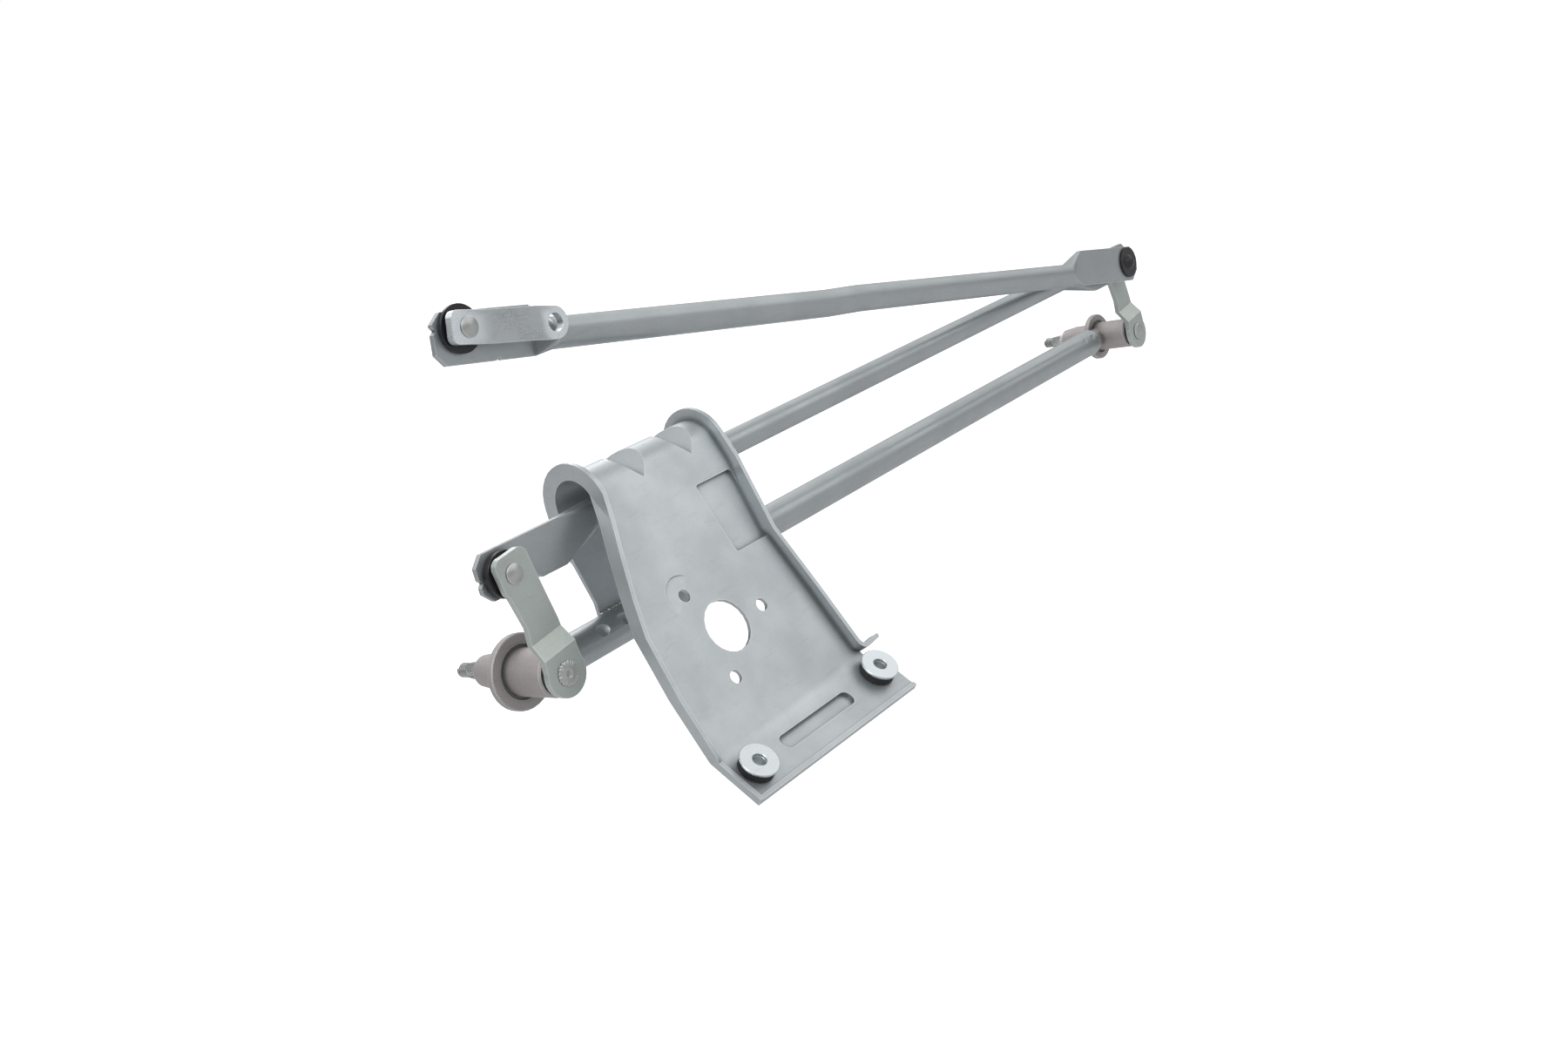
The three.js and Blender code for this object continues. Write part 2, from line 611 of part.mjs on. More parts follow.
// End plate with cut corners, and small notches where its rims were folded
function endPlate(inner, reach, low, high, plateY, corner = PLATE_CORNER) {
  const side = Math.sign(reach);
  const shape = outline([
    [inner, low],
    [-side * (NOTCH_FROM_BALL + NOTCH), low],
    [-side * NOTCH_FROM_BALL, low + NOTCH],
    [-side * (NOTCH_FROM_BALL - NOTCH), low],
    [reach - side * corner, low],
    [reach, low + corner],
    [reach, -NOTCH],
    [reach - side * NOTCH, 0],
    [reach, NOTCH],
    [reach, high - corner],
    [reach - side * corner, high],
    [inner, high],
  ]);
  return alongY(shape, plateY - ROD_PLATE / 2, plateY + ROD_PLATE / 2);
}

// Link rod, parallel to the frame tube, drawn from the near ball at x = 0
function linkRod() {
  const tubeFrom = LINK_PLATE_LENGTH + LINK_NECK_LENGTH;
  const tubeTo = PIVOT_SPACING - tubeFrom;
  const high = LINK_TUBE_RISE + LINK_RADIUS;
  const low = high - Math.PI * (LINK_RADIUS + ROD_WALL / 4);
  const farEnd = PIVOT_SPACING;
  const farPlate = endPlate(-LINK_PLATE_LENGTH - OVERLAP, LINK_END_REACH, low, high, LINK_PLATE_Y);
  const narrowing = (tubeX, plateX) =>
    neck(tubeX, plateX, LINK_RADIUS, LINK_AXIS_Y, LINK_TUBE_RISE, LINK_PLATE_Y, low, high);
  const drainTo = LINK_AXIS_Y + LINK_RADIUS + PAST;
  const body = join(
    rodAlongX(LINK_RADIUS, tubeFrom - OVERLAP, tubeTo + OVERLAP, LINK_AXIS_Y, LINK_TUBE_RISE),
    narrowing(tubeFrom, LINK_PLATE_LENGTH),
    narrowing(tubeTo, farEnd - LINK_PLATE_LENGTH),
    endPlate(LINK_PLATE_LENGTH + OVERLAP, -LINK_END_REACH, low, high, LINK_PLATE_Y),
    farPlate.translate([farEnd, 0, 0]),
  );
  const front = LINK_PLATE_Y - ROD_PLATE;
  const back = LINK_PLATE_Y + ROD_PLATE;
  return cut(
    body,
    rodAlongX(LINK_RADIUS - ROD_WALL, tubeFrom, tubeTo, LINK_AXIS_Y, LINK_TUBE_RISE, FINE_SIDES),
    rodAlongY(DRAIN_RADIUS, LINK_AXIS_Y, drainTo, tubeFrom + LINK_RADIUS, LINK_TUBE_RISE, 8),
    rodAlongY(SOCKET_BORE_RADIUS, front, back, 0, 0),
    rodAlongY(SOCKET_BORE_RADIUS, front, back, farEnd, 0),
  );
}

// Drive rod, drawn level with the far ball at x = 0 and the crank ball at x = -DRIVE_LENGTH
function driveRod() {
  const axisZ = -DRIVE_TUBE_DROP;
  const crankX = -DRIVE_LENGTH;
  const tubeFrom = crankX + DRIVE_PLATE_LENGTH + DRIVE_NECK_LENGTH;
  const tubeTo = -DRIVE_FAR_PLATE_LENGTH - DRIVE_FAR_NECK_LENGTH;
  const jogFrom = crankX + DRIVE_LENGTH * DRIVE_JOG_AT;
  const jogTo = jogFrom + DRIVE_JOG_RUN;
  const low = axisZ - DRIVE_RADIUS;
  const width = Math.PI * DRIVE_RADIUS;
  const crankLow = low - DRIVE_JOG - DRIVE_PLATE_DROP;
  const leftZ = axisZ - DRIVE_JOG;
  const bore = DRIVE_RADIUS - ROD_WALL;
  const drainTo = DRIVE_AXIS_Y + DRIVE_RADIUS + PAST;
  const bend = (radius) => slanted(radius, [jogFrom, DRIVE_AXIS_Y, leftZ], [jogTo, DRIVE_AXIS_Y, axisZ]);
  const narrowing = (tubeX, plateX, z, bottom) =>
    neck(tubeX, plateX, DRIVE_RADIUS, DRIVE_AXIS_Y, z, DRIVE_PLATE_Y, bottom, bottom + width);
  const plate = (inner, reach, bottom, corner) =>
    endPlate(inner, reach, bottom, bottom + width, DRIVE_PLATE_Y, corner);
  const body = join(
    rodAlongX(DRIVE_RADIUS, tubeFrom - OVERLAP, jogFrom + OVERLAP, DRIVE_AXIS_Y, leftZ),
    bend(DRIVE_RADIUS),
    rodAlongX(DRIVE_RADIUS, jogTo - OVERLAP, tubeTo + OVERLAP, DRIVE_AXIS_Y, axisZ),
    narrowing(tubeFrom, crankX + DRIVE_PLATE_LENGTH, leftZ, crankLow),
    narrowing(tubeTo, -DRIVE_FAR_PLATE_LENGTH, axisZ, low),
    plate(DRIVE_PLATE_LENGTH + OVERLAP, -DRIVE_CRANK_REACH, crankLow).translate([crankX, 0, 0]),
    plate(-DRIVE_FAR_PLATE_LENGTH - OVERLAP, DRIVE_FAR_REACH, low, DRIVE_FAR_CORNER),
  );
  const front = DRIVE_PLATE_Y - ROD_PLATE;
  const back = DRIVE_PLATE_Y + ROD_PLATE;
  return cut(
    body,
    rodAlongX(bore, tubeFrom, jogFrom + OVERLAP, DRIVE_AXIS_Y, leftZ, SIDES),
    bend(bore),
    rodAlongX(bore, jogTo - OVERLAP, tubeTo, DRIVE_AXIS_Y, axisZ, SIDES),
    rodAlongY(DRAIN_RADIUS, DRIVE_AXIS_Y, drainTo, tubeFrom + DRIVE_RADIUS, leftZ, 8),
    rodAlongY(SOCKET_BORE_RADIUS, front, back, crankX, 0),
    rodAlongY(SOCKET_BORE_RADIUS, front, back, 0, 0),
  );
}

// Motor crank, drawn level from the ball stud at x = 0 to the motor shaft's hole
function motorCrank(innerFace) {
  const outer = innerFace - CRANK_THICKNESS;
  const right = CRANK_LENGTH + CRANK_HALF_WIDTH;
  const left = -CRANK_HALF_WIDTH - 2;
  const run = (y) => [
    [left - PAST, y], [CRANK_RAMP_START, y],
    [CRANK_RAMP_END, y - CRANK_JOGGLE], [right + PAST, y - CRANK_JOGGLE],
  ];
  const edge = outline([...run(outer), ...run(innerFace).reverse()]);
  const sheet = extruded(edge, 2 * CRANK_HALF_WIDTH, AXIS_X, AXIS_Y, AXIS_Z, [0, 0, -CRANK_HALF_WIDTH]);
  const blank = roundedRectangle(left, -CRANK_HALF_WIDTH, right, CRANK_HALF_WIDTH, LEVER_CORNER - 1);
  const front = outer - CRANK_JOGGLE - PAST;
  const tip = alongY(blank, front, innerFace + PAST);
  const roundEnd = join(
    rodAlongY(CRANK_HALF_WIDTH, front, innerFace + PAST, CRANK_LENGTH, 0, SIDES),
    box([left, front, -CRANK_HALF_WIDTH], [CRANK_LENGTH, innerFace + PAST, CRANK_HALF_WIDTH]),
  );
  return cut(
    sheet.intersect(tip).intersect(roundEnd),
    rodAlongY(STUD_RADIUS + GAP, front, innerFace + PAST, 0, 0),
    rodAlongY(CRANK_HOLE_RADIUS, front, innerFace + PAST, CRANK_LENGTH, 0),
  );
}

// Motor bracket: the outer face of the sheet as a path of [y, z] points, from the foot's edge up the
// plate, over the hook and down the back leg to the tube
const plateY = (z) => PLATE_Y + PLATE_SLOPE * z;
const LEG_Y = -TUBE_RADIUS - GAP;
const HOOK_RADIUS = (LEG_Y - plateY(HOOK_TOP_Z)) / (Math.hypot(1, PLATE_SLOPE) + 1 - PLATE_SLOPE);
const HOOK_Y = LEG_Y - HOOK_RADIUS;
const HOOK_Z = HOOK_TOP_Z - HOOK_RADIUS;
const footPoint = (along) => [
  plateY(CREASE_Z) - along * Math.cos(rad(FOOT_ANGLE)),
  CREASE_Z - along * Math.sin(rad(FOOT_ANGLE)),
];
const overHook = [
  footPoint(FOOT_LENGTH),
  footPoint(0),
  ...arc(HOOK_Y, HOOK_Z, HOOK_RADIUS, 180 - THREE.MathUtils.radToDeg(PLATE_TILT), 0, 14),
];
const BRACKET_FAR = 200; // beyond every edge of the bracket

// The bracket's side edges as [z, x] points, on the plate's side and on the back leg's
const LEFT_EDGE = [
  [BRACKET_FAR, 55], [74, 55], [60, 50], [44, 43], [24, 35], [6, 29], [-26, 26.5], [CREASE_Z, FOOT_LEFT],
  [-BRACKET_FAR, FOOT_LEFT],
];
const RIGHT_EDGE = [
  [BRACKET_FAR, 152], [62, 152], [42, 149], [22, 146], [-14, 150], [-50, 153], [CREASE_Z, 156],
  [CREASE_Z - 6, FOOT_RIGHT], [-BRACKET_FAR, FOOT_RIGHT],
];
const LEG_LEFT = [[BRACKET_FAR, 55], [40, 55], [12, 62], [-BRACKET_FAR, 62]];
const LEG_RIGHT = [[BRACKET_FAR, 152], [40, 152], [12, 140], [-BRACKET_FAR, 140]];

function widthOutline(left, right, leftInset, rightInset) {
  const down = left.map(([z, x]) => [x + leftInset, z]);
  const up = right.map(([z, x]) => [x - rightInset, z]).reverse();
  return outline([...down, ...up]);
}

// Everything between the side edges, less the insets
function between(leftInset, rightInset) {
  const front = widthOutline(LEFT_EDGE, RIGHT_EDGE, leftInset, rightInset);
  const back = widthOutline(LEG_LEFT, LEG_RIGHT, leftInset, rightInset);
  return join(
    alongY(front, -BRACKET_FAR, HOOK_Y),
    alongY(back, HOOK_Y - GAP, BRACKET_FAR),
  );
}

function bracketSheet() {
  const path = [...overHook, [LEG_Y, LEG_END_Z]];
  const inner = offsetPath(path, () => -SHEET).reverse();
  return alongX([...path, ...inner], 0, BRACKET_FAR).intersect(between(0, 0));
}

// The rims of one side, before they are cut to the sheet's thickness
function rims({ foot, crease, plate }) {
  const [full, gone] = RIM_FADE;
  const plateEnds = [RIM_END_Z - GAP, RIM_END_Z].map((z) => [plateY(z), z]);
  const path = [
    footPoint(FOOT_LENGTH), footPoint(FOOT_RIM_TAPER), footPoint(0), ...plateEnds,
    ...overHook.slice(2), [LEG_Y, full], [LEG_Y, gone],
  ];
  const height = (y, z) => {
    if (y > HOOK_Y + HOOK_RADIUS / 2) return z > gone ? HOOK_RIM : 0;
    if (z < CREASE_Z) return foot;
    if (z < RIM_END_Z) return crease;
    return z < 0 ? plate : HOOK_RIM;
  };
  const inner = offsetPath(path, () => -SHEET / 2).reverse();
  return alongX([...offsetPath(path, height), ...inner], 0, BRACKET_FAR).intersect(between(0, 0));
}

// A V pressed down through the hook, or the swelling it leaves beneath when it is set lower
function vee(x, drop) {
  const reach = 2 * HOOK_RADIUS;
  const half = reach * Math.tan(rad(GUSSET_HALF_ANGLE));
  const shape = outline([[0, -drop], [half, reach - drop], [-half, reach - drop]]);
  const along = new THREE.Vector3(0, 1, GUSSET_RISE).normalize();
  const up = new THREE.Vector3().crossVectors(AXIS_X, along);
  const start = [x, plateY(GUSSET_FRONT_Z) - reach * along.y, GUSSET_FRONT_Z - reach * along.z];
  return extruded(shape, 4 * reach, AXIS_X.clone().negate(), up, along, start);
}

function withGussets(sheet) {
  const path = [...overHook.slice(1), [LEG_Y, CREASE_Z]];
  const under = alongX(offsetPath(path, () => -SHEET / 2), 0, BRACKET_FAR);
  const drop = SHEET / Math.sin(rad(GUSSET_HALF_ANGLE));
  const swellings = GUSSET_X.map((x) => vee(x, drop).intersect(under));
  return cut(join(sheet, ...swellings), ...GUSSET_X.map((x) => vee(x, 0)));
}

// Moves a body drawn about the Y axis, outward being +y, onto the plate or the foot
function onPlate(body, x, z) {
  return body.rotate([180 - THREE.MathUtils.radToDeg(PLATE_TILT), 0, 0]).translate([x, plateY(z), z]);
}

function onFoot(body, x, along) {
  return body.rotate([90 + FOOT_ANGLE, 0, 0]).translate([x, ...footPoint(along)]);
}

// Cuts a recess into the outer face and adds the same shape, grown by the margin, behind the sheet
function pressed(sheet, place, shape, grown, depth) {
  const behind = place(alongY(grown, -SHEET - depth, -SHEET / 2)).intersect(between(0, 0));
  const before = place(alongY(shape, -depth, RIGHT_RIM.plate + PAST)).intersect(between(SHEET, SHEET));
  return cut(join(sheet, behind), before);
}

function withPressings(sheet) {
  const lean = Math.hypot(1, PLATE_SLOPE);
  const halfWidth = (RECESS.right - RECESS.left) / 2;
  const halfHeight = ((RECESS.high - RECESS.low) / 2) * lean;
  const panel = (margin) => roundedRectangle(
    -halfWidth - margin, -halfHeight - margin, halfWidth + margin, halfHeight + margin, 2 + margin);
  const panelAt = (body) => onPlate(body, (RECESS.left + RECESS.right) / 2, (RECESS.low + RECESS.high) / 2);
  const beadHalf = (BEAD.right - BEAD.left) / 2;
  const bead = (margin) => roundedRectangle(
    -beadHalf - margin, -BEAD.halfWidth - margin, beadHalf + margin, BEAD.halfWidth + margin,
    BEAD.halfWidth + margin - GAP);
  const beadAt = (body) => onFoot(body, (BEAD.left + BEAD.right) / 2, BEAD.along);
  const recessed = pressed(sheet, panelAt, panel(0), panel(SHEET / 2), RECESS.depth);
  return pressed(recessed, beadAt, bead(0), bead(SHEET / 2), BEAD.depth);
}

function hole(radius) {
  return rodAlongY(radius, -3 * SHEET, 3 * SHEET, 0, 0);
}

function boltPlace(angle) {
  const lean = Math.hypot(1, PLATE_SLOPE);
  return [
    MOTOR_X + BOLT_CIRCLE * Math.cos(rad(angle)),
    MOTOR_Z + (BOLT_CIRCLE * Math.sin(rad(angle))) / lean,
  ];
}

// The right-hand rim ends above the crease in a wall turned outward, drawn in x and the distance
// down the plate
function curl() {
  const { radius, tip, rimOuter } = CURL;
  const centre = rimOuter - SHEET + radius;
  const shape = new THREE.Shape();
  shape.absarc(0, 0, radius, Math.PI, Math.PI / 2, true);
  shape.lineTo(tip - centre, radius - 1);
  shape.lineTo(tip - centre, radius - 1 - SHEET);
  shape.absarc(0, 0, radius - SHEET, Math.PI / 2, Math.PI);
  return onPlate(alongY(shape, -SHEET / 2, RIGHT_RIM.plate), centre, RIM_END_Z);
}

function motorBracket() {
  const sides = join(
    cut(rims(LEFT_RIM), box([MOTOR_X, -BRACKET_FAR, -BRACKET_FAR], [BRACKET_FAR, BRACKET_FAR, BRACKET_FAR])),
    cut(rims(RIGHT_RIM), box([0, -BRACKET_FAR, -BRACKET_FAR], [MOTOR_X, BRACKET_FAR, BRACKET_FAR])),
  ).subtract(between(SHEET, SHEET));
  const lip = onFoot(box([FOOT_LEFT, -SHEET / 2, -SHEET], [FOOT_RIGHT, FOOT_LIP, 0]), 0, FOOT_LENGTH);
  const folded = join(withGussets(bracketSheet()), sides, lip, curl());
  const holes = BOLT_ANGLES.map((angle) => onPlate(hole(BOLT_HOLE_RADIUS), ...boltPlace(angle)));
  const mounts = FOOT_MOUNTS.map(({ x, along }) => onFoot(hole(RUBBER_WAIST + GAP), x, along));
  const { radius, tilt, angle: stepAngle } = BOLT_STEP;
  const step = rodAlongY(radius, 0, SHEET, 0, 0, SIDES).rotate([-tilt, 0, tilt]);
  return cut(
    withPressings(folded),
    onPlate(hole(BOSS_HOLE_RADIUS), MOTOR_X, MOTOR_Z),
    onPlate(step, ...boltPlace(stepAngle)),
    alongTube(TUBE_RADIUS + GAP),
    ...holes,
    ...mounts,
  );
}

// Rubber grommet, steel sleeve and washer of one foot mounting
function addFootMount({ label, x, along }) {
  const below = -SHEET - RUBBER_BELOW;
  const rubber = turned([
    [SLEEVE_RADIUS + GAP, below], [RUBBER_RADIUS - 1, below], [RUBBER_RADIUS, below + 1],
    [RUBBER_RADIUS, -SHEET - GAP], [RUBBER_WAIST, -SHEET - GAP], [RUBBER_WAIST, GAP], [RUBBER_RADIUS, GAP],
    [RUBBER_RADIUS, RUBBER_TOP - 1], [RUBBER_RADIUS - 1, RUBBER_TOP], [SLEEVE_RADIUS + GAP, RUBBER_TOP],
  ]);
  const washerFrom = RUBBER_TOP + GAP;
  add(`foot_grommet_${label}`, onFoot(rubber, x, along), materials.rubber);
  add(`grommet_sleeve_${label}`,
    onFoot(ring(SLEEVE_BORE, SLEEVE_RADIUS, below, RUBBER_TOP), x, along), materials.steel);
  add(`grommet_washer_${label}`,
    onFoot(ring(SLEEVE_BORE, WASHER_RADIUS, washerFrom, washerFrom + WASHER_THICKNESS), x, along),
    materials.zinc);
}

// Assembly
add('frame_tube', frameTube(), materials.tube);
add('motor_bracket', motorBracket(), materials.galvanised);
addPivot('near', {
  x: 0, headY: NEAR_HEAD_Y, collarRadius: NEAR_COLLAR_RADIUS, bossRadius: NEAR_BOSS_RADIUS,
  spigotEnd: NEAR_SPIGOT, run: NEAR_RUN,
});
addPivot('far', {
  x: PIVOT_SPACING, headY: FAR_HEAD_Y, collarRadius: FAR_COLLAR_RADIUS, bossRadius: FAR_BOSS_RADIUS,
  spigotEnd: PIVOT_SPACING - FAR_SPIGOT, run: FAR_RUN,
});
FOOT_MOUNTS.forEach(addFootMount);

const onLever = (body, x) => body.rotate([0, THREE.MathUtils.radToDeg(LEVER_LEAN), 0]).translate([x, 0, 0]);
const nearInner = NEAR_HEAD_Y + LEVER_BACK + LEVER_JOGGLE;
const farOuter = FAR_HEAD_Y + HEAD_HEIGHT + LEVER_JOGGLE;

const studOnLever = (profile, x) => onLever(turned(profile, [0, 0, LEVER_LENGTH], FINE_SIDES), x);

add('near_spindle', spindle(0, NEAR_HEAD_Y), materials.steel);
add('near_lever', onLever(leverPlate().translate([0, NEAR_HEAD_Y, 0]), 0), materials.lever);
add('near_ball_stud', studOnLever(ballStud(nearInner - LEVER_THICKNESS, nearInner, LINK_PLATE_Y), 0),
  materials.steel);

add('far_spindle', spindle(PIVOT_SPACING, FAR_HEAD_Y), materials.steel);
add('far_lever', onLever(leverPlate().translate([0, FAR_HEAD_Y, 0]), PIVOT_SPACING), materials.lever);
add('far_ball_stud', studOnLever(doubleStud(farOuter), PIVOT_SPACING), materials.steel);

const nearBall = [LEVER_X, 0, LEVER_Z];
const farBall = [PIVOT_SPACING + LEVER_X, 0, LEVER_Z];
const linkFront = LINK_PLATE_Y - ROD_PLATE / 2;
const studEnd = GAP + STUD_FLANGE + GAP;
add('link_rod', linkRod().translate(nearBall), materials.tube);
add('link_rod_near_socket',
  turned(socket(LINK_PLATE_Y, nearInner + studEnd, linkFront, SOCKET_CAP_RADIUS), nearBall),
  materials.plastic);
add('link_rod_far_liner', turned(liner(farOuter - studEnd), farBall), materials.plastic);

const onDrive = (body) => body.rotate([0, -DRIVE_ANGLE, 0]).translate(farBall);
const driveFront = DRIVE_PLATE_Y - ROD_PLATE / 2;
const crankInner = driveFront - CRANK_CLEARANCE;
const farSocket = socket(-DRIVE_PLATE_Y, -linkFront + GAP, -driveFront - ROD_PLATE, FAR_CAP_RADIUS);
const crankSocket = socket(DRIVE_PLATE_Y, crankInner + studEnd, driveFront, SOCKET_CAP_RADIUS);
add('drive_rod', onDrive(driveRod()), materials.tube);
add('drive_rod_far_socket', onDrive(turned(flipped(farSocket))), materials.plastic);
add('drive_rod_crank_socket', onDrive(turned(crankSocket, [-DRIVE_LENGTH, 0, 0])), materials.plastic);

const crankBall = new THREE.Vector3(-DRIVE_LENGTH, 0, 0)
  .applyAxisAngle(AXIS_Y, rad(-DRIVE_ANGLE))
  .add(new THREE.Vector3(...farBall));
const onCrank = (body) => body.rotate([0, -CRANK_ANGLE, 0]).translate(crankBall.toArray());
add('motor_crank', onCrank(motorCrank(crankInner)), materials.zinc);
const crankStud = ballStud(crankInner - CRANK_THICKNESS, crankInner, DRIVE_PLATE_Y);
add('crank_ball_stud',
  onCrank(turned(crankStud, [0, 0, 0], FINE_SIDES)), materials.steel);

export default group;
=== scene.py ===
"""Looks for a windshield wiper linkage on its tube frame.

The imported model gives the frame. Most pieces are merged copies of its nodes with softened edges.
The spindles, their rivet heads and the welds are modelled here.
"""
import json
import math

import bmesh
import bpy
from mathutils import Euler, Matrix, Vector

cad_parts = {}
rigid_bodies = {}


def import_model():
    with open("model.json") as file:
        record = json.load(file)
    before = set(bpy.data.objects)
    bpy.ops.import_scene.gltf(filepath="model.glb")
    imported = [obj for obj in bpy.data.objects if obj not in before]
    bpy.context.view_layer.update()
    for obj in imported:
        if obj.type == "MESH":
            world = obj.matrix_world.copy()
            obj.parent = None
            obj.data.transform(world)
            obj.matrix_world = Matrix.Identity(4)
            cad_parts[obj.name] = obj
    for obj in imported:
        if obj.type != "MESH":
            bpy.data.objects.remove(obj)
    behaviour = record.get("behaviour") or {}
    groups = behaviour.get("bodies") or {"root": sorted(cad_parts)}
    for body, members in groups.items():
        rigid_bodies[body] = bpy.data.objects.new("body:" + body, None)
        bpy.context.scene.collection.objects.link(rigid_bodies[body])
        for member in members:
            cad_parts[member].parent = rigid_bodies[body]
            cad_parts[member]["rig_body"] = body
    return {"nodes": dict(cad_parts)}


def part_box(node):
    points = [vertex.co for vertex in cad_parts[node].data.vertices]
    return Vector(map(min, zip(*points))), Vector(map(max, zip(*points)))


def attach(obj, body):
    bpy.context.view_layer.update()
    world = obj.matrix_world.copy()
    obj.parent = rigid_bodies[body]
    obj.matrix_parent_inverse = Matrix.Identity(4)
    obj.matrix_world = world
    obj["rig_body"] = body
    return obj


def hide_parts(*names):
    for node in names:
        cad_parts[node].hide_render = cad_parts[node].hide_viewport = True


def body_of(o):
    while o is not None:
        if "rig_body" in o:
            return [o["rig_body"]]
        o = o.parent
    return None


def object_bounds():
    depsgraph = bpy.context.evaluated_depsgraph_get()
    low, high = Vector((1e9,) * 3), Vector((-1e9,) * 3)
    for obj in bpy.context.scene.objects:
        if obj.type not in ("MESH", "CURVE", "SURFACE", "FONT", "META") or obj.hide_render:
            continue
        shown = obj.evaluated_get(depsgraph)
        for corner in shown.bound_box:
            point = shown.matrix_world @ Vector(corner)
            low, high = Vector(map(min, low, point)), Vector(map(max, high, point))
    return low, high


bl_info = {
    "name": "Wiper Linkage",
    "version": (1, 0, 0),
    "blender": (4, 5, 0),
    "location": "View3D > Sidebar > Wiper Linkage",
    "description": "Finishes a wiper linkage with zinc, steel, cast and rubber surfaces",
    "category": "Object",
}

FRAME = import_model()
CAD_BOX = [list(corner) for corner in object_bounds()]
MM = 0.001

# Angles between faces: merged as flat, shown smooth, rounded off
FLAT_ANGLE = math.radians(0.5)
SMOOTH_ANGLE = math.radians(32.0)
ROUNDED_ANGLE = math.radians(34.0)
SAME_POINT = 2e-6

# Spindles, in millimetres: the riveted head as [radius, height], then distances back from the tip
SHAFT_RADIUS = 5.4
RIVET_HEAD = (
    (0.0, 0.5), (1.6, 0.35), (2.2, 0.0), (4.9, 0.1), (6.6, 0.9), (6.6, 1.2), (SHAFT_RADIUS, 1.2),
)
HEAD_TEETH_RUN = (0.05, 1.25)
HEAD_TEETH_FROM = 4.6
HEAD_TEETH_DEPTH = 0.6
SHAFT_END = 16.6
CONE_START = 16.0
CONE_END = 8.5
CONE_TIP_RADIUS = 4.3
KNURL_MARGIN = 0.1
KNURL_FROM = 4.0
KNURL_DEPTH = 0.45
RELIEF_START = 8.1
THREAD_RADIUS = 3.9
THREAD_START = 7.7
THREAD_END = 0.7
THREAD_STEPS = 28
TIP_CHAMFER = 0.9

# Welds, in millimetres: [start, end] along the tube and the angle round it in degrees
TUBE_RADIUS = 10.0
WELD_RUNS = ((64.0, 82.0, 66.0), (98.0, 122.0, 66.0), (70.0, 112.0, 42.0))
WELD_STEP = 1.6
WELD_SWELL = 0.18
WELD_RIPPLE = 2.4
WELD_STRETCH = (1.1, 1.0, 0.8)

# Tones that the surfaces are mixed with
CLOUD_TONE = (0.70, 0.71, 0.73, 1.0)
GRAIN_TONE = (0.80, 0.83, 0.85, 1.0)
MARK_TONE = (0.18, 0.18, 0.18, 1.0)
# Worn edges: the bright tone is partly wear and partly a painted highlight
WORN_HIGHLIGHT_TONE = (0.82, 0.84, 0.84, 1.0)
# Painted shade: the dark tone mixed into inner corners and pressed edges
CORNER_SHADE_TONE = (0.10, 0.105, 0.11, 1.0)
DUST_TONE = (0.16, 0.155, 0.15, 1.0)
# Width of the worn strip that carries the painted highlight, in metres
WORN_HIGHLIGHT_STRIP = 0.0009
# Reach of the painted shade in the inner corners, in metres
CORNER_SHADE_REACH = 0.005

# Stage, in metres: lamps as [name, place, size, share of the main lamp]
FLOOR_RADIUS = 30.0
FLOOR_CENTRE = (0.3, 0.0)
FLOOR_TONE = (0.62, 0.62, 0.63, 1.0)
FLOOR_GLOW = 0.85
WHITE = (1.0, 1.0, 1.0, 1.0)
LAMPS = (
    ("key", (-1.1, -0.7, 1.5), 0.7, 1.0),
    ("fill", (1.6, -1.7, 0.7), 1.6, 0.35),
    ("rim", (0.9, 1.2, 1.3), 0.9, 0.7),
)
LAMP_TARGET = (0.32, -0.03, 0.05)
ROOM_BOTTOM = (0.4, 0.4, 0.41, 1.0)
ROOM_TOP = (0.55, 0.56, 0.58, 1.0)
ROOM_BANDS = (
    (0.40, 0.34), (0.50, 0.12), (0.60, 0.22), (0.68, 0.95), (0.80, 1.25), (0.88, 0.8),
)
CAMERA_PLACE = (-0.4875, -0.6579, 0.2329)
CAMERA_TURN = (75.9152, 14.9188, -50.7912)


# Properties

def length(name, description, default):
    return bpy.props.FloatProperty(
        name=name, description=description, default=default, min=0.0, precision=5,
        subtype="DISTANCE", unit="LENGTH")


def colour(name, description, default):
    return bpy.props.FloatVectorProperty(
        name=name, description=description, default=default, min=0.0, max=1.0, size=3,
        subtype="COLOR")


def share(name, description, default):
    return bpy.props.FloatProperty(
        name=name, description=description, default=default, min=0.0, max=1.0, subtype="FACTOR")


class WiperSizes(bpy.types.PropertyGroup):
    """Small sizes that the finished pieces add to the frame."""
    sheet_edge: length("Sheet edge", "Rounding on the bracket's cut edges", 0.0005)
    plate_edge: length("Plate edge", "Rounding on the levers and the crank", 0.0006)
    cast_edge: length("Cast edge", "Rounding on the die-cast housings", 0.0007)
    trim_edge: length("Trim edge", "Rounding on washers, sockets and rubber", 0.0004)
    thread_pitch: length("Thread pitch", "Advance of the spindle threads in one turn", 0.00125)
    thread_depth: length("Thread depth", "Height of the spindle threads", 0.00065)
    knurl_teeth: bpy.props.IntProperty(
        name="Knurl teeth", description="Teeth around each spindle's cone", default=36, min=8)
    head_teeth: bpy.props.IntProperty(
        name="Head teeth", description="Serrations around each riveted head", default=20, min=8)
    weld_size: length("Weld size", "Height of the weld beads between bracket and tube", 0.0022)


